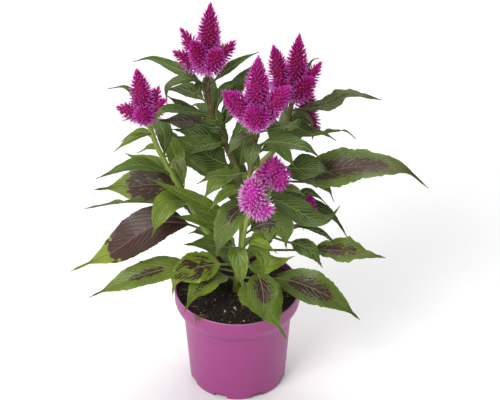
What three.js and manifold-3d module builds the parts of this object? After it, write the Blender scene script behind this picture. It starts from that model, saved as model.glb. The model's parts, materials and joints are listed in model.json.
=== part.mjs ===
// A plume celosia in a 12 cm nursery pot. Millimetres, +Z up, origin at the middle of the pot's
// base, -Y is the front, the side that the lower flower heads lean to.
import * as THREE from "three";
import { mergeVertices } from "three/addons/utils/BufferGeometryUtils.js";
import Module from "manifold-3d";

const wasm = await Module();
wasm.setup();

// ---------------------------------------------------------------- driving dimensions
const GAP = 0.3; // between neighbouring pieces
const POT_HEIGHT = 103;
const POT_TOP_RADIUS = 60;
const POT_FOOT_RADIUS = 46.5;
const POT_WALL = 1.5;
const POT_FLOOR = 1.6;
const POT_SIDES = 32;
// Inside: how far over the band's lower edge the swell starts, how much lower than the outside it
// lies from there on, and how much narrower the corner at the floor is.
const INSIDE = { start: 4, lower: 2, corner: 0.4 };
const FOOT_BEVEL = 1.5;
const BAND_BOTTOM = 78; // lower edge of the rounded rim band
const BAND_STEP = 1.2; // how far the band stands out over the wall
const BAND_SWELL = 7; // from the band's lower edge out to its widest
const BAND_FULL = 0.6; // the part of its height over which it swells
const BAND_RISES = [0, 0.12, 0.3, 0.55, 0.8, 1]; // its outline's points, as parts of its height
const SLOT = { count: 8, wide: 13, high: 4.5, deep: 8, turn: -66 };
const SOIL_LEVEL = 95;
const SOIL_ROUGHNESS = 0.9;
const SOIL_LUMPS = { broad: [7, 6], small: [3.1, 4.3], smaller: 0.6 }; // mm for each radian, and share
const SOIL_FIT = 3; // the soil is as wide as the pot's inside this far under its level
const SOIL_RINGS = [1, 0.9, 0.7, 0.45, 0.2];
const STEM_FOOT = 50; // height of the stem's lower end, inside the soil
const STEM_SIDES = 6;
const HALVINGS = 24; // in the search for a height on a stem

// Thickness at rib and edge, half width of stalk and tip, fold along the rib as a part of the
// width, outline powers (drawn makes the tip long and narrow), and the length of one facet.
const LEAF = {
  rib: 1.6, ribTaper: 0.4, edge: 0.9, stalk: 1.2, tip: 0.5, fold: 0.22,
  peak: 0.75, tail: 0.97, fullness: 1.1, drawn: 0.8, facet: 17.6, fewest: 4, most: 7, rolledBy: 0.3,
  broad: 32, drawIn: 0.01, // over this width a blade ends sooner, by so much of its length for each mm
};
const RIPPLE = { size: 0.06, pace: 14, lag: 1.3 };

// Florets around and along a spike, and the solid core as a part of the spike's radius.
const FLORET = { around: 6, row: 6.2, fewest: 5, core: 0.62, lean: 0.55, slim: 0.9, least: 1, full: 1.15 };
const SPIKE_BUTT = 0.5; // how far a spike's round end stands out under its first row
const FIRST_SIDE = [0.3, 1, 0.1]; // no spike points this way, so florets are counted from it
const CORE = { swellFrom: 0.16, swellBy: 0.4, taperFrom: 0.24, topRow: 0.97 };

// Each stem: radius at its foot and at its top, then the points on its middle line.
const STEMS = {
  main_stem: [3.7, 2.4, [-1, 2, STEM_FOOT], [-1, 2, 100], [3, -3, 136], [5, -4, 180], [2, 1, 225],
    [-12, 6, 265], [-24, 10, 300], [-26, 12, 340]],
  left_stem: [3, 2.3, [3, -3, 144], [-27, -9, 172], [-40, -9, 197], [-56, -9, 231],
    [-72, -8, 268], [-80, -8, 300]],
  front_stem: [2.8, 2.3, [5, -4, 192], [10, -16, 232], [15, -26, 270], [18, -31, 310]],
  right_stem: [2.8, 2.3, [3, -1, 210], [28, 10, 240], [44, 20, 268], [52, 30, 302]],
  back_stem: [2.5, 2.0, [2, 1, 222], [30, 26, 236], [52, 40, 254], [62, 44, 268]],
  mid_front_stem: [2.6, 2.0, [4, -3, 173], [22, -24, 208], [30, -37, 240], [32, -42, 259]],
  low_front_stem: [2.8, 2.2, [2, -1, 122], [5, -14, 146], [6, -34, 186], [13, -53, 234]],
  low_right_stem: [2.5, 2.0, [4, -5, 158], [30, -6, 170], [54, -5, 176], [66, -4, 184]],
};

// Each leaf: height at which it leaves its stem, stalk length, blade width, roll of the blade
// towards the front in degrees, wave of its edge, then the points that its midrib passes.
const LEAVES = {
  main_stem: [
    [120, 52, 27, 25, 1, [-30, -14, 136], [-53, -22, 143], [-81, -30, 141], [-110, -34, 131],
      [-138, -36, 117]],
    [130, 20, 31, 35, 1, [-26, -14, 138], [-43, -24, 140], [-56, -34, 138], [-60, -42, 125]],
    [112, 14, 26, 10, 1, [-23, -20, 127], [-39, -36, 122], [-49, -52, 112]],
    [150, 10, 23, 30, 1, [-23, -20, 165], [-36, -26, 171], [-49, -28, 172]],
    [188, 12, 15, 45, 0.6, [-14, -14, 198], [-47, -25, 225], [-80, -29, 247]],
    [176, 10, 14, 40, 0.6, [-14, -14, 184], [-38, -26, 199], [-62, -31, 207]],
    [182, 14, 27, 10, 1, [6, -18, 205], [-3, -31, 208], [-13, -41, 192], [-20, -44, 168]],
    [234, 8, 17, 25, 1, [-8, -13, 241], [-20, -21, 235], [-31, -28, 221]],
    [236, 12, 34, 50, 0.8, [-20, -10, 254], [-38, -13, 269], [-61, -10, 283]],
    [256, 8, 22, 45, 0.8, [-19, -2, 268], [-37, -3, 277], [-58, 0, 280]],
    [262, 10, 12, 30, 1, [-18, -8, 270], [-30, -16, 272], [-44, -22, 265]],
    [266, 6, 15, 40, 0.8, [-15, 2, 279], [-26, 4, 284], [-39, 6, 284]],
    [274, 6, 14, 45, 0.8, [-17, 6, 286], [-25, 8, 290], [-34, 9, 292]],
    [318, 4, 11, 20, 0.8, [-31, 0, 326], [-34, -7, 325], [-36, -10, 317]],
    [288, 10, 13, 15, 0.8, [-41, -2, 299], [-57, -15, 310], [-67, -25, 313], [-75, -29, 297]],
    [270, 16, 20, 20, 0.8, [-39, 14, 279], [-57, 16, 278], [-71, 13, 281]],
    [299, 8, 14, 30, 0.8, [-42, 20, 308], [-65, 24, 307]],
    [312, 8, 12, 25, 0.8, [-42, 20, 324], [-58, 24, 331], [-77, 26, 338], [-92, 24, 336]],
    [318, 6, 12, 10, 0.8, [-41, 6, 329], [-60, 2, 323], [-62, -1, 304]],
    [286, 8, 12, 20, 0.8, [-38, 11, 290], [-52, 9, 301], [-64, 8, 312]],
    [318, 8, 10, 20, 0.6, [-6, 18, 333], [8, 22, 341], [20, 22, 347]],
    [286, 12, 13, 20, 0.8, [-15, 10, 305], [-10, 10, 316], [8, 10, 327]],
    [280, 14, 15, 30, 0.8, [-4, 19, 304], [10, 27, 323], [21, 31, 333]],
    [272, 8, 15, 20, 0.8, [-6, 14, 292], [-2, 16, 306], [-2, 14, 318]],
    [252, 8, 16, 15, 1, [4, 12, 272], [14, 14, 290], [22, 12, 300]],
    [148, 68, 25, 25, 1.8, [31, -8, 151], [59, -12, 154], [80, -14, 156], [105, -17, 156],
      [138, -20, 151]],
    [114, 42, 32, 30, 0.8, [23, -12, 120], [44, -24, 129], [64, -34, 129], [93, -42, 117],
      [115, -46, 98]],
    [110, 16, 40, 10, 0.8, [12, -20, 117], [23, -38, 117], [33, -57, 111], [46, -75, 98]],
    [108, 14, 22, 0, 1, [-10, 26, 122], [-18, 52, 124], [-24, 78, 110]],
    [122, 14, 24, 0, 1, [24, 24, 140], [40, 46, 148], [56, 74, 132]],
    [138, 12, 24, 0, 1, [-26, 22, 160], [-48, 40, 170], [-84, 58, 152]],
    [160, 12, 24, 0, 1, [16, 26, 180], [24, 52, 190], [34, 86, 168]],
    [186, 10, 24, 0, 1, [-1, 15, 206], [-1, 27, 222], [-4, 46, 228]],
    [204, 10, 22, 0, 1, [-28, 16, 222], [-52, 22, 236], [-84, 30, 226]],
    [226, 10, 26, 0, 1, [6, 24, 247], [14, 42, 253], [22, 62, 240]],
    [246, 10, 18, 0, 1, [-20, 28, 268], [-32, 46, 276], [-48, 66, 262]],
    [282, 8, 14, 0, 0.8, [-24, 28, 302], [-26, 42, 308], [-28, 58, 300]],
  ],
  left_stem: [
    [172, 22, 38, 38, 0.5, [-46, -14, 185], [-69, -20, 191], [-90, -25, 182], [-111, -26, 165],
      [-155, -22, 137]],
    [158, 6, 12, 20, 1, [-32, 2, 166], [-46, 6, 160]],
    [214, 8, 37, 35, 0.6, [-71, 2, 218], [-97, 4, 215], [-131, 0, 214]],
    [200, 8, 20, -32, 2, [-66, -14, 208], [-100, -20, 214], [-139, -20, 207]],
    [236, 8, 16, 15, 0.8, [-70, -16, 247], [-90, -22, 256], [-126, -26, 244]],
    [238, 6, 16, 25, 0.8, [-75, 2, 240], [-89, 6, 243], [-102, 8, 249]],
    [206, 5, 23, 25, 0.6, [-52, -17, 214], [-61, -27, 219], [-69, -37, 212], [-77, -42, 191]],
    [244, 4, 13, 20, 0.8, [-56, -15, 256], [-50, -20, 251], [-47, -23, 233]],
    [262, 6, 10, 15, 0.8, [-78, 4, 258], [-91, 8, 249]],
    [280, 6, 8, 15, 0.8, [-84, -18, 285], [-94, -22, 283], [-109, -23, 271]],
    [274, 6, 10, 15, 0.8, [-83, 2, 275], [-95, 4, 271], [-105, 2, 265]],
    [286, 6, 8, 10, 0.8, [-88, 10, 303], [-99, 14, 315], [-115, 14, 314]],
    [284, 5, 9, 10, 0.8, [-90, 6, 288], [-103, 8, 284]],
    [196, 10, 15, 0, 1, [-53, 3, 206], [-57, 8, 226], [-60, 12, 244]],
    [224, 8, 18, 0, 1, [-56, 14, 240], [-64, 34, 250], [-80, 56, 238]],
    [252, 8, 16, 0, 1, [-66, 14, 266], [-72, 28, 270], [-84, 48, 262]],
  ],
  front_stem: [
    [292, 6, 11, 15, 0.8, [4, -40, 296], [-9, -46, 281]],
    [286, 6, 14, 0, 0.8, [14, -46, 288], [10, -54, 270]],
    [278, 10, 17, 20, 1, [29, -32, 287], [46, -36, 288], [61, -38, 285], [75, -40, 274]],
    [268, 8, 17, 15, 0.8, [34, -28, 280], [54, -38, 261]],
    [294, 6, 9, 15, 0.8, [34, -30, 300], [48, -28, 302], [60, -28, 296]],
    [246, 10, 13, 20, 0.8, [-7, -30, 250], [-21, -37, 254], [-35, -42, 249]],
    [222, 8, 12, 15, 0.8, [-4, -28, 233], [-16, -40, 231], [-26, -46, 221]],
  ],
  right_stem: [
    [284, 8, 19, 15, 2, [66, 24, 287], [84, 22, 293], [103, 20, 304], [130, 14, 302]],
    [264, 8, 10, 10, 1, [62, 10, 271], [79, 6, 271], [90, 4, 265]],
    [236, 22, 36, 34, 1.4, [56, 0, 231], [74, -2, 234], [98, -8, 243], [122, -13, 249], [149, -18, 249],
      [173, -22, 231]],
    [242, 22, 27, 35, 0.6, [46, -4, 241], [61, -14, 247], [74, -20, 250], [87, -24, 247]],
    [222, 50, 10, 10, 0.8, [50, 0, 223], [72, -2, 222], [83, -7, 219], [89, -12, 209]],
    [218, 16, 18, 60, 0.8, [42, 22, 194], [67, 27, 179], [83, 18, 178], [94, 8, 172], [104, 0, 158]],
    [282, 6, 10, 20, 0.8, [58, 46, 300], [65, 51, 314], [69, 54, 320], [75, 56, 321]],
    [262, 10, 8, 30, 0.6, [54, 20, 281], [62, 16, 284], [67, 12, 281], [70, 8, 271]],
    [248, 8, 15, 10, 0.8, [35, 6, 268], [34, 3, 284], [31, 1, 297]],
    [276, 8, 15, 0, 1, [40, 42, 290], [34, 56, 294], [26, 74, 284]],
    [232, 8, 16, 20, 1, [16, -8, 256], [25, -10, 271], [37, -10, 280]],
  ],
  back_stem: [
    [252, 6, 24, 50, 0.6, [57, 30, 260], [70, 22, 267]],
    [250, 8, 12, -35, 2, [68, 28, 255], [88, 24, 262], [99, 22, 264], [109, 18, 258]],
    [240, 8, 20, 0, 1, [50, 62, 252], [54, 82, 250], [58, 104, 228]],
    [246, 6, 16, 0, 1, [66, 56, 246], [72, 74, 234], [72, 94, 208]],
  ],
  mid_front_stem: [
    [212, 8, 23, 35, 0.6, [34, -28, 222], [52, -34, 216], [69, -38, 208], [83, -38, 208], [93, -36, 221]],
    [206, 8, 14, 20, 0.8, [44, -22, 208], [60, -24, 206], [72, -26, 200]],
    [230, 6, 11, 15, 0.8, [48, -36, 240], [62, -42, 236]],
  ],
  low_front_stem: [
    [138, 44, 28, 0, 0.8, [12, -28, 151], [20, -51, 153], [24, -69, 145], [24, -82, 124]],
    [132, 10, 18, 40, 1, [20, -18, 140], [36, -24, 147], [53, -28, 159]],
    [188, 8, 31, 60, 0.8, [25, -34, 200], [41, -41, 201], [45, -48, 182]],
    [166, 6, 11, 20, 0.8, [14, -28, 176], [24, -35, 178], [37, -40, 171]],
    [152, 6, 17, 5, 0.8, [0, -26, 166], [3, -38, 158], [5, -43, 132]],
    [160, 6, 15, 0, 0.8, [18, -32, 170], [25, -44, 166], [22, -52, 150]],
  ],
  low_right_stem: [
    [168, 28, 16, 45, 2, [44, -13, 165], [56, -21, 167], [68, -28, 165], [79, -34, 150]],
    [176, 8, 8, 0, 0.8, [64, -14, 181], [79, -16, 176], [96, -20, 161]],
    [174, 8, 18, 0, 1, [50, 16, 174], [52, 40, 168], [56, 62, 150]],
    [172, 10, 10, 40, 1, [52, 7, 187], [64, 15, 201], [75, 15, 196], [86, 11, 187]],
  ],
};

// Each flower head: the stem it stands on, how blunt its spikes are, then its spikes as foot, tip
// and outer radius.
const HEADS = {
  crown_head: ["main_stem", 2.5, [
    [[-26, 12, 341], [-22, 16, 401], 11.5],
    [[-28, 13, 339], [-49, 21, 371], 8],
    [[-27, 8, 338], [-38, -6, 374], 9.5],
    [[-29, 11, 337], [-55, 5, 357], 8.5],
    [[-24, 8, 338], [-14, -12, 368], 10],
    [[-23, 12, 338], [-1, 15, 362], 8],
  ]],
  left_head: ["left_stem", 2.3, [
    [[-81, -8, 301], [-87, -6, 346], 11],
    [[-82, -8, 300], [-105, -13, 311], 9],
    [[-79, -7, 300], [-69, -2, 325], 8],
    [[-78, -9, 300], [-63, -10, 317], 8.5],
    [[-80, -10, 300], [-82, -28, 314], 10],
  ]],
  front_head: ["front_stem", 2.5, [
    [[18, -31, 311], [19, -30, 373], 12],
    [[16, -31, 311], [-11, -35, 340], 11],
    [[20, -31, 311], [46, -33, 344], 11.5],
    [[18, -33, 310], [17, -53, 330], 12.5],
  ]],
  right_head: ["right_stem", 2.3, [
    [[52, 30, 299], [56, 33, 359], 11.5],
    [[44, 30, 297], [33, 37, 345], 12],
    [[54, 30, 298], [76, 31, 331], 8.5],
    [[54, 28, 297], [68, 12, 326], 10],
    [[50, 28, 298], [34, 20, 319], 9],
  ]],
  back_head: ["back_stem", 2.2, [
    [[61, 46, 262], [67, 48, 294], 10],
    [[63, 45, 272], [74, 41, 254], 8.5],
  ]],
  mid_front_head: ["mid_front_stem", 3.6, [
    [[31, -41, 254], [18, -42, 259], 9],
    [[32, -43, 254], [45, -50, 263], 10],
    [[32, -42, 255], [33, -40, 275], 11],
  ]],
  low_front_head: ["low_front_stem", 3.6, [
    [[14, -53, 231], [15, -59, 266], 11],
    [[15, -54, 233], [31, -61, 233], 9.5],
  ]],
  low_right_head: ["low_right_stem", 2.2, [
    [[63, -4, 177], [68, -1, 209], 8.8],
  ]],
};

const PAINT = {
  pot: ["#a8508c", 0.45],
  soil: ["#2a211c", 0.95],
  stem: ["#5f8a35", 0.6],
  head: ["#c01c86", 0.7],
};

// ---------------------------------------------------------------- solids
const rad = THREE.MathUtils.degToRad;
const vec = (p) => new THREE.Vector3(...p);

function solid(geometry) {
  geometry.deleteAttribute("normal");
  geometry.deleteAttribute("uv");
  const merged = mergeVertices(geometry);
  return new wasm.Manifold(new wasm.Mesh({
    numProp: 3,
    vertProperties: merged.attributes.position.array,
    triVerts: new Uint32Array(merged.index.array),
  }));
}

function fromLists(points, faces) {
  const geometry = new THREE.BufferGeometry();
  const flat = points.flatMap((p) => [p.x, p.y, p.z]);
  geometry.setAttribute("position", new THREE.Float32BufferAttribute(flat, 3));
  geometry.setIndex(faces);
  return solid(geometry);
}

function namedMesh(name, shape, [color, roughness]) {
  const { vertProperties, triVerts } = shape.getMesh();
  const geometry = new THREE.BufferGeometry();
  geometry.setAttribute("position", new THREE.Float32BufferAttribute(vertProperties, 3));
  geometry.setIndex(new THREE.BufferAttribute(new Uint32Array(triVerts), 1));
  geometry.computeVertexNormals();
  const material = new THREE.MeshStandardMaterial({ color, roughness, metalness: 0 });
  const mesh = new THREE.Mesh(geometry, material);
  mesh.name = name;
  return mesh;
}

const curveThrough = (points) => new THREE.CatmullRomCurve3(points, false, "centripetal");

// Closed tube of rings: rings is a list of equal-length rings of points, wound the same way.
function skin(rings, pairing) {
  const size = rings[0].length;
  const faces = [];
  const id = (i, j) => i * size + (j % size);
  for (let i = 0; i < rings.length - 1; i++) {
    for (let j = 0; j < size; j++) {
      const [a, b, c, d] = [id(i, j), id(i, j + 1), id(i + 1, j + 1), id(i + 1, j)];
      if (pairing(j)) faces.push(a, b, c, a, c, d);
      else faces.push(a, b, d, b, c, d);
    }
  }
  const last = rings.length - 1;
  for (let j = 1; j < size - 1; j++) {
    faces.push(id(0, 0), id(0, j + 1), id(0, j));
    faces.push(id(last, 0), id(last, j), id(last, j + 1));
  }
  return fromLists(rings.flat(), faces);
}

// ---------------------------------------------------------------- pot and soil
const bandFoot = POT_TOP_RADIUS - BAND_SWELL;
const bandHeight = POT_HEIGHT - BAND_BOTTOM;
const wallRadius = (z) => THREE.MathUtils.lerp(POT_FOOT_RADIUS, bandFoot - BAND_STEP, z / BAND_BOTTOM);

// The rim band swells from the step under it and is full over its upper part.
function bandRadius(z) {
  const rise = (z - BAND_BOTTOM) / bandHeight;
  return bandFoot + BAND_SWELL * Math.sin(Math.min(1, rise / BAND_FULL) * Math.PI / 2);
}

// Inside, the band starts a little higher and follows the outside a little lower down.
function innerRadius(z) {
  const outside = z < BAND_BOTTOM + INSIDE.start ? wallRadius(z) : bandRadius(z - INSIDE.lower);
  return outside - POT_WALL;
}
const innerFoot = innerRadius(POT_FLOOR) - INSIDE.corner;

function lathe(outline, sides) {
  const points = outline.map(([r, z]) => new THREE.Vector2(r, z));
  return solid(new THREE.LatheGeometry(points, sides).rotateX(Math.PI / 2));
}

function buildPot() {
  const heights = BAND_RISES.map((rise) => BAND_BOTTOM + rise * bandHeight);
  const shell = lathe([
    [0, 0],
    [POT_FOOT_RADIUS - FOOT_BEVEL, 0],
    [POT_FOOT_RADIUS, FOOT_BEVEL],
    [wallRadius(BAND_BOTTOM), BAND_BOTTOM],
    ...heights.map((z) => [bandRadius(z), z]),
    ...heights.slice(2).reverse().map((z) => [innerRadius(z), z]),
    [innerRadius(BAND_BOTTOM), BAND_BOTTOM],
    [innerFoot, POT_FLOOR],
    [0, POT_FLOOR],
  ], POT_SIDES);
  const slots = Array.from({ length: SLOT.count }, (_, i) => {
    const box = new THREE.BoxGeometry(SLOT.deep, SLOT.wide, SLOT.high * 2);
    box.translate(POT_FOOT_RADIUS, 0, 0).rotateZ(rad(SLOT.turn + (i * 360) / SLOT.count));
    return solid(box);
  });
  return shell.subtract(wasm.Manifold.union(slots));
}

function soilHeight(x, y) {
  const { broad, small, smaller } = SOIL_LUMPS;
  const lumps = Math.sin(x / broad[0] + 1) * Math.cos(y / broad[1])
    + smaller * Math.sin(x / small[0] - y / small[1]);
  return SOIL_LEVEL + SOIL_ROUGHNESS * lumps;
}

function buildSoil(stemHole) {
  const outer = innerRadius(SOIL_LEVEL - SOIL_FIT) - GAP;
  const under = [
    [innerFoot - GAP, POT_FLOOR + GAP],
    [innerRadius(BAND_BOTTOM) - GAP, BAND_BOTTOM],
  ];
  const point = (radius, side, z) => {
    const turn = (side / POT_SIDES) * 2 * Math.PI;
    const [x, y] = [radius * Math.cos(turn), radius * Math.sin(turn)];
    return new THREE.Vector3(x, y, z ?? soilHeight(x, y));
  };
  const sides = [...Array(POT_SIDES).keys()];
  const rings = [
    ...under.map(([r, z]) => sides.map((s) => point(r, s, z))),
    ...SOIL_RINGS.map((part) => sides.map((s) => point(outer * part, s))),
  ];
  return skin(rings, () => true).subtract(stemHole);
}

// ---------------------------------------------------------------- stems
function stemCurve(name) {
  const [, , ...points] = STEMS[name];
  return curveThrough(points.map(vec));
}

// Point on a stem's middle line at a given height; every stem only rises.
function atHeight(curve, z) {
  let [low, high] = [0, 1];
  for (let step = 0; step < HALVINGS; step++) {
    const middle = (low + high) / 2;
    if (curve.getPoint(middle).z < z) low = middle;
    else high = middle;
  }
  return curve.getPoint(low);
}

// A stem's bare rod; extra is added all round it and at both ends.
function tube(name, extra) {
  const [foot, top, ...points] = STEMS[name];
  const curve = stemCurve(name);
  const steps = points.length + 1;
  const rings = Array.from({ length: steps + 1 }, (_, i) => {
    const t = i / steps;
    const along = curve.getTangent(t);
    const end = (t === 1) - (t === 0);
    const centre = curve.getPoint(t).addScaledVector(along, extra * end);
    const side = new THREE.Vector3(0, 1, 0).cross(along).normalize();
    const other = along.clone().cross(side);
    const radius = THREE.MathUtils.lerp(foot, top, t) + extra;
    return Array.from({ length: STEM_SIDES }, (_, j) => {
      const turn = (j / STEM_SIDES) * 2 * Math.PI;
      return centre.clone()
        .addScaledVector(side, radius * Math.cos(turn))
        .addScaledVector(other, radius * Math.sin(turn));
    });
  });
  return skin(rings, () => true);
}

// ---------------------------------------------------------------- leaves
// Half width of a blade along its length: ovate, with a drawn-out tip, longest on broad blades.
function bladeHalf(s, wide) {
  const tail = LEAF.tail - LEAF.drawIn * Math.max(0, wide - LEAF.broad);
  const body = Math.sin(Math.PI * Math.min(1, s / tail) ** LEAF.peak);
  return Math.max(LEAF.tip, (wide / 2) * Math.max(0, body) ** (LEAF.fullness + LEAF.drawn * s ** 3));
}

// Pairs of the place along the midrib and the place along the blade, where below 0 is stalk.
function leafStations(length, stalk) {
  const blade = length - stalk;
  const steps = THREE.MathUtils.clamp(Math.round(blade / LEAF.facet), LEAF.fewest, LEAF.most);
  const stations = [[0, -1]];
  for (let i = 0; i <= steps; i++) {
    stations.push([Math.min(1, (stalk + (blade * i) / steps) / length), i / steps]);
  }
  return stations;
}

function leafSolid(stem, [height, stalk, wide, roll, wave, ...through], order) {
  const root = atHeight(stem, height);
  const path = curveThrough([root, ...through.map(vec)]);
  const tip = path.getPoint(1);
  const out = tip.clone().add(path.getPoint(0.5)).addScaledVector(root, -2).setZ(0).normalize();
  const across = new THREE.Vector3(0, 0, 1).cross(out);
  const rings = leafStations(path.getLength(), stalk).map(([u, s]) => {
    const centre = path.getPointAt(u);
    const along = path.getTangentAt(u);
    const side = across.clone().addScaledVector(along, -across.dot(along)).normalize();
    const face = along.clone().cross(side);
    const towardsFront = along.clone().cross(face).y > 0 ? -1 : 1;
    const turn = towardsFront * rad(roll) * Math.min(1, u / LEAF.rolledBy);
    side.applyAxisAngle(along, turn);
    face.applyAxisAngle(along, turn);
    const onStalk = s <= 0;
    const half = onStalk ? LEAF.stalk : bladeHalf(s, wide);
    const edge = onStalk ? LEAF.stalk : LEAF.edge;
    const rib = onStalk ? 2 * LEAF.stalk : LEAF.rib * (1 - LEAF.ribTaper * s);
    const swing = RIPPLE.size * wide * wave * Math.sin(Math.PI * Math.max(0, s));
    const ripple = (way) => swing * Math.sin(RIPPLE.pace * s + order + RIPPLE.lag * way);
    const point = (way, thick) => centre.clone()
      .addScaledVector(side, way * half)
      .addScaledVector(face, Math.abs(way) * (LEAF.fold * half + ripple(way)) + thick);
    return [
      point(1, edge / 2), point(0, rib / 2), point(-1, edge / 2),
      point(-1, -edge / 2), point(0, -rib / 2), point(1, -edge / 2),
    ];
  });
  // Both faces are split along the same diagonals, mirrored about the rib.
  return skin(rings, (j) => j === 0 || j === 3);
}

// ---------------------------------------------------------------- flower heads
// A spike is a spindle tiled with staggered diamonds, each drawn out to a floret's point.
function spike([foot, tip, round], blunt) {
  const [start, end] = [vec(foot), vec(tip)];
  const axis = end.clone().sub(start);
  const length = axis.length();
  axis.normalize();
  const side = vec(FIRST_SIDE).cross(axis).normalize();
  const other = axis.clone().cross(side);
  const rows = Math.max(FLORET.fewest, Math.round(length / FLORET.row));
  const core = (k) => {
    const t = k / rows;
    const swell = Math.sin(Math.min(1, (t + CORE.swellFrom) / CORE.swellBy) * Math.PI / 2);
    const spent = Math.max(0, (t - CORE.taperFrom) / (1 - CORE.taperFrom));
    return round * FLORET.core * swell * (1 - spent ** blunt);
  };
  const around = (k, j, radius, rise) => {
    const turn = ((j + 0.5 * (k % 2)) / FLORET.around) * 2 * Math.PI;
    return start.clone()
      .addScaledVector(axis, (k / rows) * length * CORE.topRow + rise)
      .addScaledVector(side, radius * Math.cos(turn))
      .addScaledVector(other, radius * Math.sin(turn));
  };
  const points = [];
  const add = (p) => points.push(p) - 1;
  const valley = [];
  for (let k = 0; k < rows; k++) {
    valley.push(Array.from({ length: FLORET.around }, (_, j) => add(around(k, j, core(k), 0))));
  }
  const top = add(end);
  const bottom = add(start.clone().addScaledVector(axis, -SPIKE_BUTT));
  const at = (k, j) => (k === rows ? top : valley[k][(j + FLORET.around) % FLORET.around]);
  const faces = [];
  for (let k = 0; k < rows; k++) {
    for (let j = 0; j < FLORET.around; j++) {
      const [left, right] = [at(k, j), at(k, j + 1)];
      const above = at(k + 1, j + (k % 2));
      if (k === 0) {
        faces.push(bottom, right, left, left, right, above);
        continue;
      }
      const below = at(k - 1, j + (k % 2));
      const longest = round * (1 - FLORET.core) * FLORET.full;
      const reach = Math.min(longest, core(k) * FLORET.slim + FLORET.least);
      const apex = add(around(k, j + 0.5, core(k) + reach, reach * FLORET.lean));
      faces.push(left, below, apex, below, right, apex, right, above, apex, above, left, apex);
    }
  }
  return fromLists(points, faces);
}

function buildHead(spikes, blunt, stem) {
  return join(spikes.map((row) => spike(row, blunt))).subtract(stem);
}

// ---------------------------------------------------------------- assembly
// Joins the pieces of one sub-part, without the scraps and sealed hollows that a join can leave.
function join(pieces) {
  const bodies = wasm.Manifold.union(pieces).decompose();
  return bodies.reduce((most, body) => (body.volume() > most.volume() ? body : most));
}

const plant = new THREE.Group();
const clearMain = tube("main_stem", GAP);

plant.add(namedMesh("pot", buildPot(), PAINT.pot));
plant.add(namedMesh("soil", buildSoil(clearMain), PAINT.soil));
for (const [name, leaves] of Object.entries(LEAVES)) {
  const curve = stemCurve(name);
  const blades = leaves.map((leaf, order) => leafSolid(curve, leaf, order));
  const stem = join([tube(name, 0), ...blades]);
  plant.add(namedMesh(name, name === "main_stem" ? stem : stem.subtract(clearMain), PAINT.stem));
}
for (const [name, [stem, blunt, spikes]] of Object.entries(HEADS)) {
  plant.add(namedMesh(name, buildHead(spikes, blunt, tube(stem, GAP)), PAINT.head));
}

export default plant;
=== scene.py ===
"""Looks of a potted plume celosia: finer leaves, florets, stems, soil and pot around its solids."""

import json
import math
import random
from functools import partialmethod

import bpy
from mathutils import Matrix, Vector, noise

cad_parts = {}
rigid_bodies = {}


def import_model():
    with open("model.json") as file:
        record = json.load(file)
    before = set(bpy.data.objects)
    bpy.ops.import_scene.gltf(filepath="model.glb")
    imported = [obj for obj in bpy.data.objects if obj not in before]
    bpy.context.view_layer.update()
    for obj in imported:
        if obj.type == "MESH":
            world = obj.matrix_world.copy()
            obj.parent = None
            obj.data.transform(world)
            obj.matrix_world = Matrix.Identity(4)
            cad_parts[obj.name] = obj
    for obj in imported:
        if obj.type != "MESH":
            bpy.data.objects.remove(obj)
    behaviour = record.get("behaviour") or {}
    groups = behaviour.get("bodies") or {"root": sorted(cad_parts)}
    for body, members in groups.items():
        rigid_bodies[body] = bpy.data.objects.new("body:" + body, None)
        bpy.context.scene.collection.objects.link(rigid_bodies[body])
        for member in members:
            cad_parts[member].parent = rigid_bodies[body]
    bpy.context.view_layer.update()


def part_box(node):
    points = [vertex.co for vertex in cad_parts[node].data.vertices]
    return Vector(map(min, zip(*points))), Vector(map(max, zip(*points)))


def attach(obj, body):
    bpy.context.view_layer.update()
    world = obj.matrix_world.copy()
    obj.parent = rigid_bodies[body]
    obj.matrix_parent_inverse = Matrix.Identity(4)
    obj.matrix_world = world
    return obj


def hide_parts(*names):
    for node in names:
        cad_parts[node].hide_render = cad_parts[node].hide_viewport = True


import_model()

bl_info = {
    "name": "Potted plume celosia",
    "version": (1, 0, 0),
    "blender": (4, 5, 0),
    "location": "3D View > Sidebar > Celosia",
    "description": "Builds the leaves, plumes, stems, soil and pot of a plume celosia",
    "category": "Object",
}

MM = 0.001
FULL_TURN = 6.28  # in radians
POT_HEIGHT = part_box("pot")[1].z
POT_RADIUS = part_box("pot")[1].x


def srgb(*screen):
    """A colour given as on screen, 0 to 255, as the shader's linear colour."""
    parts = [value / 255 for value in screen]
    return (*(p / 12.92 if p <= 0.04045 else ((p + 0.055) / 1.055) ** 2.4 for p in parts), 1.0)


def shaded(colour, part):
    """That part of a colour's strength."""
    return (*(value * part for value in colour[:3]), 1.0)


# ---- the plant's plan, in millimetres
# Each stem: radius at its foot and at its top, redness, then the points on its middle line.
STEMS = {
    "main_stem": (3.7, 2.4, 0.75, (-1, 2, 50), (-1, 2, 100), (3, -3, 136), (5, -4, 180),
                  (2, 1, 225), (-12, 6, 265), (-24, 10, 300), (-26, 12, 340)),
    "left_stem": (3, 2.3, 0.05, (3, -3, 144), (-27, -9, 172), (-40, -9, 197), (-56, -9, 231),
                  (-72, -8, 268), (-80, -8, 300)),
    "front_stem": (2.8, 2.3, 0.7, (5, -4, 192), (10, -16, 232), (15, -26, 270), (18, -31, 310)),
    "right_stem": (2.8, 2.3, 0.6, (3, -1, 210), (28, 10, 240), (44, 20, 268), (52, 30, 302)),
    "back_stem": (2.5, 2.0, 0.6, (2, 1, 222), (30, 26, 236), (52, 40, 254), (62, 44, 268)),
    "mid_front_stem": (2.6, 2.0, 0.2, (4, -3, 173), (22, -24, 208), (30, -37, 240), (32, -42, 259)),
    "low_front_stem": (2.8, 2.2, 0.1, (2, -1, 122), (5, -14, 146), (6, -34, 186), (13, -53, 234)),
    "low_right_stem": (2.5, 2.0, 0.3, (4, -5, 158), (30, -6, 170), (54, -5, 176), (66, -4, 184)),
}

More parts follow.
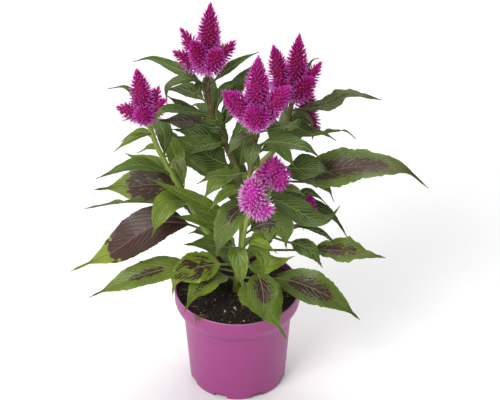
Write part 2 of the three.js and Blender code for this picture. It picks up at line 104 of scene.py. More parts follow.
NO_PATCH = (0, 0, 0, 0, 0)
# A leaf's look: tint from dark to light, greyness, warmth of its veins, then its maroon patch:
# where it starts and ends along the blade, how much of the width it takes, and how far it breaks
# up into streaks along the veins, and into specks.
LOOKS = {
    # The deep look is painted shade: a darker green for leaves that lie deep inside the plant.
    "deep": (0.16, 0.1, 0.0, *NO_PATCH),
    "dark": (0.27, 0.06, 0.0, *NO_PATCH),
    "green": (0.36, 0.0, 0.0, *NO_PATCH),
    "fresh": (0.6, 0.0, 0.0, *NO_PATCH),
    "light": (0.85, 0.0, 0.0, *NO_PATCH),
    "grey": (0.3, 0.5, 0.1, *NO_PATCH),
    "dusk": (0.14, 0.6, 0.7, 0.0, 0.8, 0.5, 0.5, 0.3),
    "shade": (0.24, 0.4, 0.2, 0.0, 0.75, 0.2, 1.0, 0.8),
    "blush": (0.5, 0.15, 0.8, *NO_PATCH),
    "streak": (0.62, 0.0, 0.3, 0.24, 0.6, 0.3, 1.1, 0.3),
    "blotch": (0.74, 0.0, 0.3, 0.1, 0.8, 0.76, 1.2, 0.4),
    "speck": (0.62, 0.0, 0.2, 0.3, 0.72, 0.16, 0.6, 1.2),
    "wine": (0.78, 0.0, 0.9, -0.2, 0.67, 1.3, 0.2, 0.3),
    "half": (0.66, 0.0, 0.8, -0.2, 0.62, 1.15, 0.9, 0.3),
    "rib": (0.42, 0.2, 0.8, 0.08, 0.72, 0.5, 0.8, 1.3),
    "saw": (0.56, 0.0, 0.8, -0.05, 0.6, 0.45, 1.0, 1.0),
    "heart": (0.44, 0.0, 0.4, 0.14, 0.66, 0.5, 1.0, 1.3),
    "mottle": (0.5, 0.15, 0.2, 0.02, 0.5, 0.4, 0.5, 1.7),
}

# Each leaf: height at which it leaves its stem, stalk length, blade width, roll of the blade
# towards the front in degrees, wave of its edge, look, then the points that its midrib passes.
LEAVES = {
    "main_stem": (
        (120, 52, 27, 25, 1, "streak", (-30, -14, 136), (-53, -22, 143), (-81, -30, 141),
         (-110, -34, 131), (-138, -36, 117)),
        (130, 20, 31, 35, 1, "blotch", (-26, -14, 138), (-43, -24, 140), (-56, -34, 138),
         (-60, -42, 125)),
        (112, 14, 26, 10, 1, "speck", (-23, -20, 127), (-39, -36, 122), (-49, -52, 112)),
        (150, 10, 23, 30, 1, "green", (-23, -20, 165), (-36, -26, 171), (-49, -28, 172)),
        (188, 12, 15, 45, 0.6, "fresh", (-14, -14, 198), (-47, -25, 225), (-80, -29, 247)),
        (176, 10, 14, 40, 0.6, "fresh", (-14, -14, 184), (-38, -26, 199), (-62, -31, 207)),
        (182, 14, 27, 10, 1, "mottle", (6, -18, 205), (-3, -31, 208), (-13, -41, 192),
         (-20, -44, 168)),
        (234, 8, 17, 25, 1, "fresh", (-8, -13, 241), (-20, -21, 235), (-31, -28, 221)),
        (236, 12, 34, 50, 0.8, "dark", (-20, -10, 254), (-38, -13, 269), (-61, -10, 283)),
        (256, 8, 22, 45, 0.8, "deep", (-19, -2, 268), (-37, -3, 277), (-58, 0, 280)),
        (262, 10, 12, 30, 1, "dark", (-18, -8, 270), (-30, -16, 272), (-44, -22, 265)),
        (266, 6, 15, 40, 0.8, "deep", (-15, 2, 279), (-26, 4, 284), (-39, 6, 284)),
        (274, 6, 14, 45, 0.8, "dark", (-17, 6, 286), (-25, 8, 290), (-34, 9, 292)),
        (318, 4, 11, 20, 0.8, "deep", (-31, 0, 326), (-34, -7, 325), (-36, -10, 317)),
        (288, 10, 13, 15, 0.8, "green", (-41, -2, 299), (-57, -15, 310), (-67, -25, 313),
         (-75, -29, 297)),
        (270, 16, 20, 20, 0.8, "dusk", (-39, 14, 279), (-57, 16, 278), (-71, 13, 281)),
        (299, 8, 14, 30, 0.8, "dark", (-42, 20, 308), (-65, 24, 307)),
        (312, 8, 12, 25, 0.8, "dark", (-42, 20, 324), (-58, 24, 331), (-77, 26, 338),
         (-92, 24, 336)),
        (318, 6, 12, 10, 0.8, "grey", (-41, 6, 329), (-60, 2, 323), (-62, -1, 304)),
        (286, 8, 12, 20, 0.8, "deep", (-38, 11, 290), (-52, 9, 301), (-64, 8, 312)),
        (318, 8, 10, 20, 0.6, "dark", (-6, 18, 333), (8, 22, 341), (20, 22, 347)),
        (286, 12, 13, 20, 0.8, "deep", (-15, 10, 305), (-10, 10, 316), (8, 10, 327)),
        (280, 14, 15, 30, 0.8, "dark", (-4, 19, 304), (10, 27, 323), (21, 31, 333)),
        (272, 8, 15, 20, 0.8, "deep", (-6, 14, 292), (-2, 16, 306), (-2, 14, 318)),
        (252, 8, 16, 15, 1, "dark", (4, 12, 272), (14, 14, 290), (22, 12, 300)),
        (148, 68, 25, 25, 1.8, "saw", (31, -8, 151), (59, -12, 154), (80, -14, 156),
         (105, -17, 156), (138, -20, 151)),
        (114, 42, 32, 30, 0.8, "heart", (23, -12, 120), (44, -24, 129), (64, -34, 129),
         (93, -42, 117), (115, -46, 98)),
        (110, 16, 40, 10, 0.8, "fresh", (12, -20, 117), (23, -38, 117), (33, -57, 111),
         (46, -75, 98)),
        (108, 14, 22, 0, 1, "green", (-10, 26, 122), (-18, 52, 124), (-24, 78, 110)),
        (122, 14, 24, 0, 1, "blotch", (24, 24, 140), (40, 46, 148), (56, 74, 132)),
        (138, 12, 24, 0, 1, "half", (-26, 22, 160), (-48, 40, 170), (-84, 58, 152)),
        (160, 12, 24, 0, 1, "green", (16, 26, 180), (24, 52, 190), (34, 86, 168)),
        (186, 10, 24, 0, 1, "dark", (-1, 15, 206), (-1, 27, 222), (-4, 46, 228)),
        (204, 10, 22, 0, 1, "green", (-28, 16, 222), (-52, 22, 236), (-84, 30, 226)),
        (226, 10, 26, 0, 1, "dark", (6, 24, 247), (14, 42, 253), (22, 62, 240)),
        (246, 10, 18, 0, 1, "dark", (-20, 28, 268), (-32, 46, 276), (-48, 66, 262)),
        (282, 8, 14, 0, 0.8, "deep", (-24, 28, 302), (-26, 42, 308), (-28, 58, 300)),
    ),
    "left_stem": (
        (172, 22, 38, 38, 0.5, "wine", (-46, -14, 185), (-69, -20, 191), (-90, -25, 182),
         (-111, -26, 165), (-155, -22, 137)),
        (158, 6, 12, 20, 1, "dark", (-32, 2, 166), (-46, 6, 160)),
        (214, 8, 37, 35, 0.6, "half", (-71, 2, 218), (-97, 4, 215), (-131, 0, 214)),
        (200, 8, 20, -32, 2, "green", (-66, -14, 208), (-100, -20, 214), (-139, -20, 207)),
        (236, 8, 16, 15, 0.8, "green", (-70, -16, 247), (-90, -22, 256), (-126, -26, 244)),
        (238, 6, 16, 25, 0.8, "fresh", (-75, 2, 240), (-89, 6, 243), (-102, 8, 249)),
        (206, 5, 23, 25, 0.6, "fresh", (-52, -17, 214), (-61, -27, 219), (-69, -37, 212),
         (-77, -42, 191)),
        (244, 4, 13, 20, 0.8, "blush", (-56, -15, 256), (-50, -20, 251), (-47, -23, 233)),
        (262, 6, 10, 15, 0.8, "fresh", (-78, 4, 258), (-91, 8, 249)),
        (280, 6, 8, 15, 0.8, "fresh", (-84, -18, 285), (-94, -22, 283), (-109, -23, 271)),
        (274, 6, 10, 15, 0.8, "fresh", (-83, 2, 275), (-95, 4, 271), (-105, 2, 265)),
        (286, 6, 8, 10, 0.8, "dark", (-88, 10, 303), (-99, 14, 315), (-115, 14, 314)),
        (284, 5, 9, 10, 0.8, "green", (-90, 6, 288), (-103, 8, 284)),
        (196, 10, 15, 0, 1, "light", (-53, 3, 206), (-57, 8, 226), (-60, 12, 244)),
        (224, 8, 18, 0, 1, "fresh", (-56, 14, 240), (-64, 34, 250), (-80, 56, 238)),
        (252, 8, 16, 0, 1, "green", (-66, 14, 266), (-72, 28, 270), (-84, 48, 262)),
    ),
    "front_stem": (
        (292, 6, 11, 15, 0.8, "grey", (4, -40, 296), (-9, -46, 281)),
        (286, 6, 14, 0, 0.8, "grey", (14, -46, 288), (10, -54, 270)),
        (278, 10, 17, 20, 1, "dark", (29, -32, 287), (46, -36, 288), (61, -38, 285),
         (75, -40, 274)),
        (268, 8, 17, 15, 0.8, "green", (34, -28, 280), (54, -38, 261)),
        (294, 6, 9, 15, 0.8, "dark", (34, -30, 300), (48, -28, 302), (60, -28, 296)),
        (246, 10, 13, 20, 0.8, "green", (-7, -30, 250), (-21, -37, 254), (-35, -42, 249)),
        (222, 8, 12, 15, 0.8, "fresh", (-4, -28, 233), (-16, -40, 231), (-26, -46, 221)),
    ),
    "right_stem": (
        (284, 8, 19, 15, 2, "shade", (66, 24, 287), (84, 22, 293), (103, 20, 304), (130, 14, 302)),
        (264, 8, 10, 10, 1, "green", (62, 10, 271), (79, 6, 271), (90, 4, 265)),
        (236, 22, 36, 34, 1.4, "rib", (56, 0, 231), (74, -2, 234), (98, -8, 243), (122, -13, 249),
         (149, -18, 249), (173, -22, 231)),
        (242, 22, 27, 35, 0.6, "deep", (46, -4, 241), (61, -14, 247), (74, -20, 250),
         (87, -24, 247)),
        (222, 50, 10, 10, 0.8, "dark", (50, 0, 223), (72, -2, 222), (83, -7, 219), (89, -12, 209)),
        (218, 16, 18, 60, 0.8, "deep", (42, 22, 194), (67, 27, 179), (83, 18, 178), (94, 8, 172),
         (104, 0, 158)),
        (282, 6, 10, 20, 0.8, "green", (58, 46, 300), (65, 51, 314), (69, 54, 320), (75, 56, 321)),
        (262, 10, 8, 30, 0.6, "grey", (54, 20, 281), (62, 16, 284), (67, 12, 281), (70, 8, 271)),
        (248, 8, 15, 10, 0.8, "deep", (35, 6, 268), (34, 3, 284), (31, 1, 297)),
        (276, 8, 15, 0, 1, "dark", (40, 42, 290), (34, 56, 294), (26, 74, 284)),
        (232, 8, 16, 20, 1, "green", (16, -8, 256), (25, -10, 271), (37, -10, 280)),
    ),
    "back_stem": (
        (252, 6, 24, 50, 0.6, "green", (57, 30, 260), (70, 22, 267)),
        (250, 8, 12, -35, 2, "shade", (68, 28, 255), (88, 24, 262), (99, 22, 264), (109, 18, 258)),
        (240, 8, 20, 0, 1, "green", (50, 62, 252), (54, 82, 250), (58, 104, 228)),
        (246, 6, 16, 0, 1, "dark", (66, 56, 246), (72, 74, 234), (72, 94, 208)),
    ),
    "mid_front_stem": (
        (212, 8, 23, 35, 0.6, "dark", (34, -28, 222), (52, -34, 216), (69, -38, 208),
         (83, -38, 208), (93, -36, 221)),
        (206, 8, 14, 20, 0.8, "dark", (44, -22, 208), (60, -24, 206), (72, -26, 200)),
        (230, 6, 11, 15, 0.8, "green", (48, -36, 240), (62, -42, 236)),
    ),
    "low_front_stem": (
        (138, 44, 28, 0, 0.8, "heart", (12, -28, 151), (20, -51, 153), (24, -69, 145),
         (24, -82, 124)),
        (132, 10, 18, 40, 1, "light", (20, -18, 140), (36, -24, 147), (53, -28, 159)),
        (188, 8, 31, 60, 0.8, "mottle", (25, -34, 200), (41, -41, 201), (45, -48, 182)),
        (166, 6, 11, 20, 0.8, "light", (14, -28, 176), (24, -35, 178), (37, -40, 171)),
        (152, 6, 17, 5, 0.8, "fresh", (0, -26, 166), (3, -38, 158), (5, -43, 132)),
        (160, 6, 15, 0, 0.8, "fresh", (18, -32, 170), (25, -44, 166), (22, -52, 150)),
    ),
    "low_right_stem": (
        (168, 28, 16, 45, 2, "dark", (44, -13, 165), (56, -21, 167), (68, -28, 165),
         (79, -34, 150)),
        (176, 8, 8, 0, 0.8, "deep", (64, -14, 181), (79, -16, 176), (96, -20, 161)),
        (174, 8, 18, 0, 1, "green", (50, 16, 174), (52, 40, 168), (56, 62, 150)),
        (172, 10, 10, 40, 1, "deep", (52, 7, 187), (64, 15, 201), (75, 15, 196), (86, 11, 187)),
    ),
}

# Each plume: paleness, length of its florets, how blunt its spikes are, then its spikes as foot,
# tip and radius.
PLUMES = {
    "crown_head": (0.0, 6.3, 2.5, (
        ((-26, 12, 341), (-22, 16, 399.4), 11.5),
        ((-28, 13, 339), (-49, 21, 371), 8),
        ((-27, 8, 338), (-38, -6, 374), 9.5),
        ((-29, 11, 337), (-55, 5, 357), 8.5),
        ((-24, 8, 338), (-14, -12, 368), 10),
        ((-23, 12, 338), (-1, 15, 362), 8),
    )),
    "left_head": (0.1, 6.2, 2.3, (
        ((-81, -8, 301), (-87, -6, 346), 11),
        ((-82, -8, 300), (-105, -13, 311), 9),
        ((-79, -7, 300), (-69, -2, 325), 8),
        ((-78, -9, 300), (-63, -10, 317), 8.5),
        ((-80, -10, 300), (-82, -28, 314), 10),
    )),
    "front_head": (0.15, 7.1, 2.5, (
        ((18, -31, 311), (19, -30, 373), 12),
        ((16, -31, 311), (-11, -35, 340), 11),
        ((20, -31, 311), (46, -33, 344), 11.5),
        ((18, -33, 310), (17, -53, 330), 12.5),
    )),
    "right_head": (0.0, 6.3, 2.3, (
        ((52, 30, 299), (56, 33, 359), 11.5),
        ((44, 30, 297), (33, 37, 345), 12),
        ((54, 30, 298), (76, 31, 331), 8.5),
        ((54, 28, 297), (68, 12, 326), 10),
        ((50, 28, 298), (34, 20, 319), 9),
    )),
    "back_head": (0.0, 6.2, 2.2, (
        ((61, 46, 262), (67, 48, 294), 10),
        ((63, 45, 272), (74, 41, 254), 8.5),
    )),
    "mid_front_head": (0.4, 7.4, 3.6, (
        ((31, -41, 254), (18, -42, 259), 9),
        ((32, -43, 254), (45, -50, 263), 10),
        ((32, -42, 255), (33, -40, 275), 11),
    )),
    "low_front_head": (1.0, 8.4, 3.6, (
        ((14, -53, 231), (15, -59, 266), 11),
        ((15, -54, 233), (31, -61, 233), 9.5),
    )),
    "low_right_head": (0.2, 6.0, 2.2, (
        ((63, -4, 177), (68, -1, 209), 8.8),
    )),
}

# Grains that lie loose on the soil, as place and size in mm, paler than the rest.
LOOSE_GRAINS = (
    (-11.6, -29.2, 3.0), (-2.2, -23.8, 3.4), (-1.0, -27.0, 1.8), (6.4, -45.0, 2.6),
    (-14.2, -40.5, 1.6), (-6.7, -46.5, 1.4), (-21.2, -13.1, 1.7), (27.0, -30.0, 1.8),
    (-31.0, 8.0, 2.0), (20.0, 31.0, 2.4), (-20.0, 34.0, 1.8), (41.0, 12.0, 2.2))


# ---- what a user would change
def number(name, description, default, **kind):
    return bpy.props.FloatProperty(name=name, description=description, default=default, **kind)


def length(name, description, default):
    return number(name, description, default, unit="LENGTH")


def amount(name, description, default):
    return bpy.props.IntProperty(name=name, description=description, default=default)


def colour(name, description, *screen):
    return bpy.props.FloatVectorProperty(name=name, description=description, default=srgb(*screen),
                                         subtype="COLOR", size=4, min=0, max=1)


class PotLook(bpy.types.PropertyGroup):
    foot: length("Foot radius", "Outside radius at the pot's foot", 46.5 * MM)
    wall: length("Wall", "Thickness of the moulded wall", 1.5 * MM)
    band: length("Band height", "Height of the rounded rim band", 25 * MM)
    swell: length("Band swell", "How far the rim band stands out over its lower edge", 7 * MM)
    slots: amount("Drain slots", "Slots along the foot", 8)
    paint: colour("Plastic", "Colour of the moulded plastic", 160, 62, 130)


class SoilLook(bpy.types.PropertyGroup):
    level: length("Level", "Height of the soil's surface", 95 * MM)
    crumb: length("Crumb", "Size of a large crumb of soil", 2.6 * MM)
    crumbs: amount("Crumbs", "Loose crumbs on the soil", 2600)
    grains: amount("Pale grains", "Pale grains among them", 170)
    roots: amount("Root bits", "Thin dry root bits", 60)
    peat: colour("Peat", "Colour of the damp peat", 40, 30, 26)
    pale: colour("Pale grains", "Colour of pale grains and root bits", 214, 190, 150)


class LeafLook(bpy.types.PropertyGroup):
    step: length("Facet", "Length of one facet along a blade", 1.7 * MM)
    spacing: length("Vein spacing", "Distance between two side veins", 6.2 * MM)
    dark: colour("Dark leaf", "Darkest leaf green", 30, 50, 16)
    middle: colour("Middle leaf", "Middle leaf green", 92, 116, 36)
    light: colour("Light leaf", "Lightest leaf green", 142, 162, 46)
    grey: colour("Grey bloom", "Greyish cast of older leaves", 92, 98, 78)
    maroon: colour("Maroon patch", "Dark patch along the midrib", 66, 26, 40)
    pink: colour("Pink vein", "Veins of the warm leaves", 168, 108, 112)
    back: colour("Underside", "Underside of the leaves", 112, 134, 66)


class FloretLook(bpy.types.PropertyGroup):
    gap: length("Floret spacing", "Distance between two florets on a spike's core", 2.25 * MM)
    deep: colour("Deep crimson", "Colour between the florets", 132, 2, 68)
    rich: colour("Magenta", "Colour of a floret's body", 204, 10, 160)
    tips: colour("Tips", "Colour of the floret's tips", 214, 108, 232)
    faded: colour("Faded tips", "Tips of the oldest florets", 248, 190, 242)


class StudioLook(bpy.types.PropertyGroup):
    lens: number("Lens", "Focal length on a 36 mm sensor, in mm", 129.6)
    rise: number("Camera rise", "Angle of the camera over the floor", math.radians(34.7),
                 subtype="ANGLE")
    distance: length("Distance", "From the camera to what it looks at", 1.66)
    key: number("Key light", "Power of the key light, in watts", 38)
    floor: colour("Floor", "Colour of the pale floor", 250, 250, 250)


GROUPS = {"celosia_pot": PotLook, "celosia_soil": SoilLook, "celosia_leaf": LeafLook,
          "celosia_floret": FloretLook, "celosia_studio": StudioLook}


# ---- curves and meshes
def smooth(low, high, value):
    part = min(1.0, max(0.0, (value - low) / (high - low)))
    return part * part * (3 - 2 * part)


def mix(a, b, part):
    return a + (b - a) * part


def turns(count):
    """Angles spread evenly round a circle."""
    return [2 * math.pi * j / count for j in range(count)]


def polar(radius, turn):
    return radius * math.cos(turn), radius * math.sin(turn)


class Path:
    """A centripetal Catmull-Rom curve, read by its parameter, by length or by height."""

    SAMPLES = 200
    HALVINGS = 24
    TANGENT_STEP = 1e-4

    def __init__(self, points):
        points = [Vector(p) for p in points]
        before, after = 2 * points[0] - points[1], 2 * points[-1] - points[-2]
        self.spans = len(points) - 1
        self.knots = [before, *points, after]
        self.marks = [0.0]
        last = points[0]
        for i in range(1, self.SAMPLES + 1):
            here = self.point(i / self.SAMPLES)
            self.marks.append(self.marks[-1] + (here - last).length)
            last = here

    def point(self, t):
        place = min(1.0, max(0.0, t)) * self.spans
        i = min(int(place), self.spans - 1)
        x = place - i
        a, b, c, d = self.knots[i:i + 4]
        before, here, after = [(q - p).length_squared ** 0.25 for p, q in ((a, b), (b, c), (c, d))]
        leave = ((b - a) / before - (c - a) / (before + here) + (c - b) / here) * here
        arrive = ((c - b) / here - (d - b) / (here + after) + (d - c) / after) * here
        return (b + leave * x + (3 * (c - b) - 2 * leave - arrive) * x ** 2
                + (2 * (b - c) + leave + arrive) * x ** 3)

    def tangent(self, t):
        ahead, behind = self.point(t + self.TANGENT_STEP), self.point(t - self.TANGENT_STEP)
        return (ahead - behind).normalized()

    def by_length(self, part):
        """The parameter at which that part of the whole length is passed."""
        target = min(1.0, max(0.0, part)) * self.marks[-1]
        low = max(i for i in range(self.SAMPLES) if self.marks[i] <= target)
        span = self.marks[low + 1] - self.marks[low]
        return (low + (target - self.marks[low]) / span) / self.SAMPLES

    def by_height(self, z):
        low, high = 0.0, 1.0
        for _ in range(self.HALVINGS):
            middle = (low + high) / 2
            low, high = (middle, high) if self.point(middle).z < z else (low, middle)
        return low


def linked(name, data):
    """A new object in the scene."""
    made = bpy.data.objects.new(name, data)
    bpy.context.scene.collection.objects.link(made)
    return made


def finished_mesh(piece):
    """The plain mesh that an object's modifiers make."""
    bpy.context.view_layer.update()
    graph = bpy.context.evaluated_depsgraph_get()
    return bpy.data.meshes.new_from_object(
        piece.evaluated_get(graph), preserve_all_data_layers=True, depsgraph=graph)


class Shells:
    """Collects closed shells, with a material number for each face and marks for each point."""

    def __init__(self, *marks):
        self.points, self.faces, self.kinds, self.sharp = [], [], [], []
        self.marks = {name: [] for name in marks}

    def add(self, points, faces, kinds=None, sharp=(), **marks):
        """Adds a shell, turned so that its faces point outwards. A mark is one value or a list."""
        first = len(self.points)
        volume = 0.0
        for face in faces:
            for i in range(1, len(face) - 1):
                a, b, c = points[face[0]], points[face[i]], points[face[i + 1]]
                volume += a.dot(b.cross(c))
        turned = faces if volume > 0 else [face[::-1] for face in faces]
        self.points += points
        self.faces += [[first + i for i in face] for face in turned]
        self.kinds += kinds or [0] * len(faces)
        self.sharp += [(first + a, first + b) for a, b in sharp]
        for name, values in marks.items():
            self.marks[name] += values if isinstance(values, list) else [values] * len(points)

    def build(self, name, *materials):
        mesh = bpy.data.meshes.new(name)
        mesh.from_pydata([p * MM for p in self.points], [], self.faces)
        mesh.shade_smooth()
        mesh.polygons.foreach_set("material_index", self.kinds)
        for mark, values in self.marks.items():
            flat = mesh.attributes.new(mark, "FLOAT_VECTOR", "POINT")
            flat.data.foreach_set("vector", [x for value in values for x in value])
        if self.sharp:
            wanted = {frozenset(pair) for pair in self.sharp}
            edges = mesh.attributes.new("sharp_edge", "BOOLEAN", "EDGE")
            edges.data.foreach_set("value", [frozenset(e.vertices) in wanted for e in mesh.edges])
        for material in materials:
            mesh.materials.append(material)
        return linked(name, mesh)


def ring_faces(rings, size, tip=None):
    """Quads between rings, an end cap on the first one, and a cap or a fan to a tip on the last."""
    faces = []
    for i in range(rings - 1):
        for j in range(size):
            k = (j + 1) % size
            faces.append([i * size + j, i * size + k, (i + 1) * size + k, (i + 1) * size + j])
    last = (rings - 1) * size
    if tip is None:
        faces.append([last + j for j in range(size)])
    else:
        faces += [[last + j, last + (j + 1) % size, tip] for j in range(size)]
    faces.append([size - 1 - j for j in range(size)])
    return faces


def place_piece(piece, slot, *nodes):
    """Attaches a piece to the root body, and hides the solids it stands in for, if any."""
    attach(piece, "root")
    if nodes:
        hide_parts(*nodes)


def joined(name, meshes):
    """One object from several meshes that share their materials."""
    parts = [linked(name, mesh) for mesh in meshes]
    with bpy.context.temp_override(active_object=parts[0], selected_editable_objects=parts):
        bpy.ops.object.join()
    return parts[0]


# ---- node trees
class Nodes:
    """Adds nodes to a tree. A socket is given a value, or is linked to another node's output."""

    def __init__(self, tree):
        self.tree = tree

    def add(self, kind, inputs=None, **settings):
        node = self.tree.nodes.new(kind)
        for name, value in settings.items():
            setattr(node, name, value)
        for name, value in (inputs or {}).items():
            if isinstance(value, bpy.types.NodeSocket):
                self.tree.links.new(value, node.inputs[name])
            else:
                node.inputs[name].default_value = value
        return node

    def result(self, kind, inputs=None, socket=0, **settings):
        """Adds a node and gives one of its outputs."""
        return self.add(kind, inputs, **settings).outputs[socket]

    def math(self, operation, *values, clamp=False):
        return self.result("ShaderNodeMath", dict(enumerate(values)), operation=operation,
                           use_clamp=clamp)

    plus = partialmethod(math, "ADD")
    less = partialmethod(math, "SUBTRACT")
    times = partialmethod(math, "MULTIPLY")
    over = partialmethod(math, "DIVIDE")
    power = partialmethod(math, "POWER")
    larger = partialmethod(math, "MAXIMUM")
    smaller = partialmethod(math, "MINIMUM")

    def scaled(self, value, factor, offset=0.0):
        return self.math("MULTIPLY_ADD", value, factor, offset)

    def step(self, value, low, high, start=0.0, end=1.0):
        """Runs smoothly from start to end as value goes from low to high."""
        inputs = {"Value": value, "From Min": low, "From Max": high, "To Min": start, "To Max": end}
        return self.result("ShaderNodeMapRange", inputs, interpolation_type="SMOOTHSTEP")

    def vector(self, x, y, z):
        return self.result("ShaderNodeCombineXYZ", {"X": x, "Y": y, "Z": z})

    def split(self, vector):
        return tuple(self.add("ShaderNodeSeparateXYZ", {"Vector": vector}).outputs)

    def noise(self, vector, scale, detail=2.0, roughness=0.5):
        inputs = {"Vector": vector, "Scale": scale, "Detail": detail, "Roughness": roughness}
        return self.result("ShaderNodeTexNoise", inputs)

    def blend(self, factor, a, b):
        """Goes from colour a to colour b by factor."""
        return self.result("ShaderNodeMix", {0: factor, 6: a, 7: b}, socket=2, data_type="RGBA")


class Finish(Nodes):
    """A material with a principled shader."""

    def __init__(self, name, roughness, gloss=0.5):
        self.material = bpy.data.materials.new(name)
        self.material.use_nodes = True
        super().__init__(self.material.node_tree)
        self.shader = self.tree.nodes["Principled BSDF"].inputs
        self.shader["Roughness"].default_value = roughness
        self.shader["Specular IOR Level"].default_value = gloss

    def marks(self, name):
        """The three values that the mesh holds under that name."""
        return self.split(self.result("ShaderNodeAttribute", socket="Vector", attribute_name=name))

    def place(self):
        return self.result("ShaderNodeTexCoord", socket="Object")

    def wear(self, colour, height, depth, roughness=None):
        """Sets the colour, the relief of that depth, and the roughness where it varies."""
        relief = self.result("ShaderNodeBump",
                             {"Height": height, "Distance": depth, "Strength": 1.0})
        for socket, value in (("Base Color", colour), ("Roughness", roughness), ("Normal", relief)):
            if value is not None:
                self.tree.links.new(value, self.shader[socket])
        return self.material


# Kinds of a geometry tree's inputs.
WHOLE, PART, SHAPE, PAINT = (f"NodeSocket{kind}" for kind in ("Int", "Float", "Object", "Material"))


class Growth(Nodes):
    """A geometry tree with named inputs. Its result is taken as a plain mesh."""

    def __init__(self, name, **inputs):
        super().__init__(bpy.data.node_groups.new(name, "GeometryNodeTree"))
        face = self.tree.interface
        face.new_socket("Geometry", in_out="OUTPUT", socket_type="NodeSocketGeometry")
        face.new_socket("Geometry", in_out="INPUT", socket_type="NodeSocketGeometry")
        self.ids = {label: face.new_socket(label, in_out="INPUT", socket_type=kind).identifier
                    for label, kind in inputs.items()}
        self.given = self.add("NodeGroupInput").outputs

    def random(self, low, high, salt):
        """A number for each point. The salt keeps it apart from the tree's other draws."""
        seed = self.plus(self.given["Seed"], salt)
        return self.result("FunctionNodeRandomValue", {2: low, 3: high, "Seed": seed}, socket=1)

    def profile(self, value, stops):
        """Reads a curve drawn through stops, each a pair of place and height."""
        node = self.add("ShaderNodeFloatCurve", {"Value": value})
        points = node.mapping.curves[0].points
        while len(points) < len(stops):
            points.new(0.5, 0.5)
        for point, stop in zip(points, stops):
            point.location = stop
        node.mapping.update()
        return node.outputs[0]

    def store(self, geometry, name, vector):
        inputs = {"Geometry": geometry, "Name": name, "Value": vector}
        return self.result("GeometryNodeStoreNamedAttribute", inputs, data_type="FLOAT_VECTOR",
                           domain="POINT")

    def close(self, geometry):
        """Ends the tree: instances become mesh, smooth, with the given material."""
        real = self.result("GeometryNodeRealizeInstances", {"Geometry": geometry})
        even = self.result("GeometryNodeSetShadeSmooth", {"Geometry": real})
        done = self.result("GeometryNodeSetMaterial",
                           {"Geometry": even, "Material": self.given["Material"]})
        self.add("NodeGroupOutput", {"Geometry": done})
        return self

    def grow(self, source, **values):
        """The mesh that the tree makes from a source mesh."""
        holder = linked("holder", source)
        modifier = holder.modifiers.new("growth", "NODES")
        modifier.node_group = self.tree
        for label, value in values.items():
            modifier[self.ids[label]] = value
        mesh = finished_mesh(holder)
        bpy.data.objects.remove(holder)
        return mesh


# ---- pot
POT_SIDES = 160
UNDERSIDE, INNER_FLOOR = 0.9, 1.7  # heights in mm
# The moulded ring on which the pot stands, as distance from the foot's radius and height, in mm.
FOOT_RING = ((-9, UNDERSIDE), (-7.6, 0.2), (-7, 0), (-1.5, 0), (-0.5, 0.4), (0, 1.5))
WALL_HEIGHTS = (8, 20, 34, 48, 62, 72)
BAND_LEDGE = 1.2  # how far the band's lower edge stands out over the wall, in mm
BAND_STEPS = 14
BAND_FULL = 0.6  # the part of its height over which the band swells
# A drain slot's outline, as place across and height in mm, its depth to either side of the foot's
# radius, and the direction of the first one in degrees.
SLOT_ARCH = ((-6.5, -1), (6.5, -1), (6.5, 2.6), (5.6, 4), (4.2, 4.5), (-4.2, 4.5), (-5.6, 4),
             (-6.5, 2.6))
SLOT_DEPTH = 4
FIRST_SLOT = -66
SHARPER_THAN = math.radians(38)  # edges of the pot that stay sharp


def pot_material(look):
    finish = Finish("moulded_plastic", 0.42)
    spot = finish.place()
    cloud = finish.noise(spot, 26, 3)
    fine = finish.noise(spot, 900, 2)
    scuff = finish.step(finish.noise(spot, 70, 6, 0.7), 0.62, 0.8)
    base = finish.blend(finish.scaled(cloud, 0.35), look.paint[:], shaded(look.paint, 0.8))
    up = finish.split(spot)[2]
    # Painted shade: a dark line along the crease under the rim band. Then a painted highlight: a
    # light line on the lip.
    under = finish.math("ABSOLUTE", finish.less(up, POT_HEIGHT - look.band - 0.4 * MM))
    painted_crease_shade = finish.step(under, 0.3 * MM, 1.2 * MM, 0.6, 0.0)
    base = finish.blend(painted_crease_shade, base, shaded(look.paint, 0.4))
    # Painted highlight: the lip is lightened towards its top edge.
    lip = finish.step(up, POT_HEIGHT - 0.7 * MM, POT_HEIGHT - 0.1 * MM, 0.0, 0.4)
    base = finish.blend(lip, base, srgb(226, 160, 210))
    # Real scuffs, laid over the painted crease shade and the painted lip highlight.
    scuffed_and_painted_light = finish.blend(finish.scaled(scuff, 0.12), base, srgb(214, 160, 200))
    return finish.wear(scuffed_and_painted_light, fine, 0.00006, finish.scaled(fine, 0.12, 0.36))


def band_radius(look, rise):
    """Outside radius of the rim band, in mm, at a part of its height."""
    swell = look.swell / MM
    return POT_RADIUS / MM - swell + swell * math.sin(min(1.0, rise / BAND_FULL) * math.pi / 2)


def pot_profile(look):
    """Radius and height, in mm, from the middle of the underside round to the inner floor."""
    top, foot, wall = POT_RADIUS / MM, look.foot / MM, look.wall / MM
    height, band, edge = POT_HEIGHT / MM, look.band / MM, band_radius(look, 0)
    start, neck = height - band, edge - BAND_LEDGE
    slope = (neck - foot) / start
    outside = [(0, UNDERSIDE), *((foot + out, z) for out, z in FOOT_RING)]
    outside += [(foot + slope * z, z) for z in (*WALL_HEIGHTS, start - 0.8)]
    outside += [(edge - 1, start - 0.35), (edge, start)]
    rises = [i / BAND_STEPS for i in range(1, BAND_STEPS + 1)]
    outside += [(band_radius(look, rise), start + rise * (band - 0.9)) for rise in rises]
    lip = [(top - 0.1, height - 0.35), (top - 0.5, height), (top - wall + 0.4, height),
           (top - wall, height - 0.5)]
    inner = [rise * 0.94 for rise in reversed(rises[2:])]
    inside = [(band_radius(look, max(0.0, rise - 2 / band)) - wall, start + rise * band)
              for rise in inner]
    inside += [(neck - wall, start), (foot - wall + 0.1, 2.4), (foot - wall - 1, INNER_FLOOR),
               (0, INNER_FLOOR)]
    return outside + lip + inside


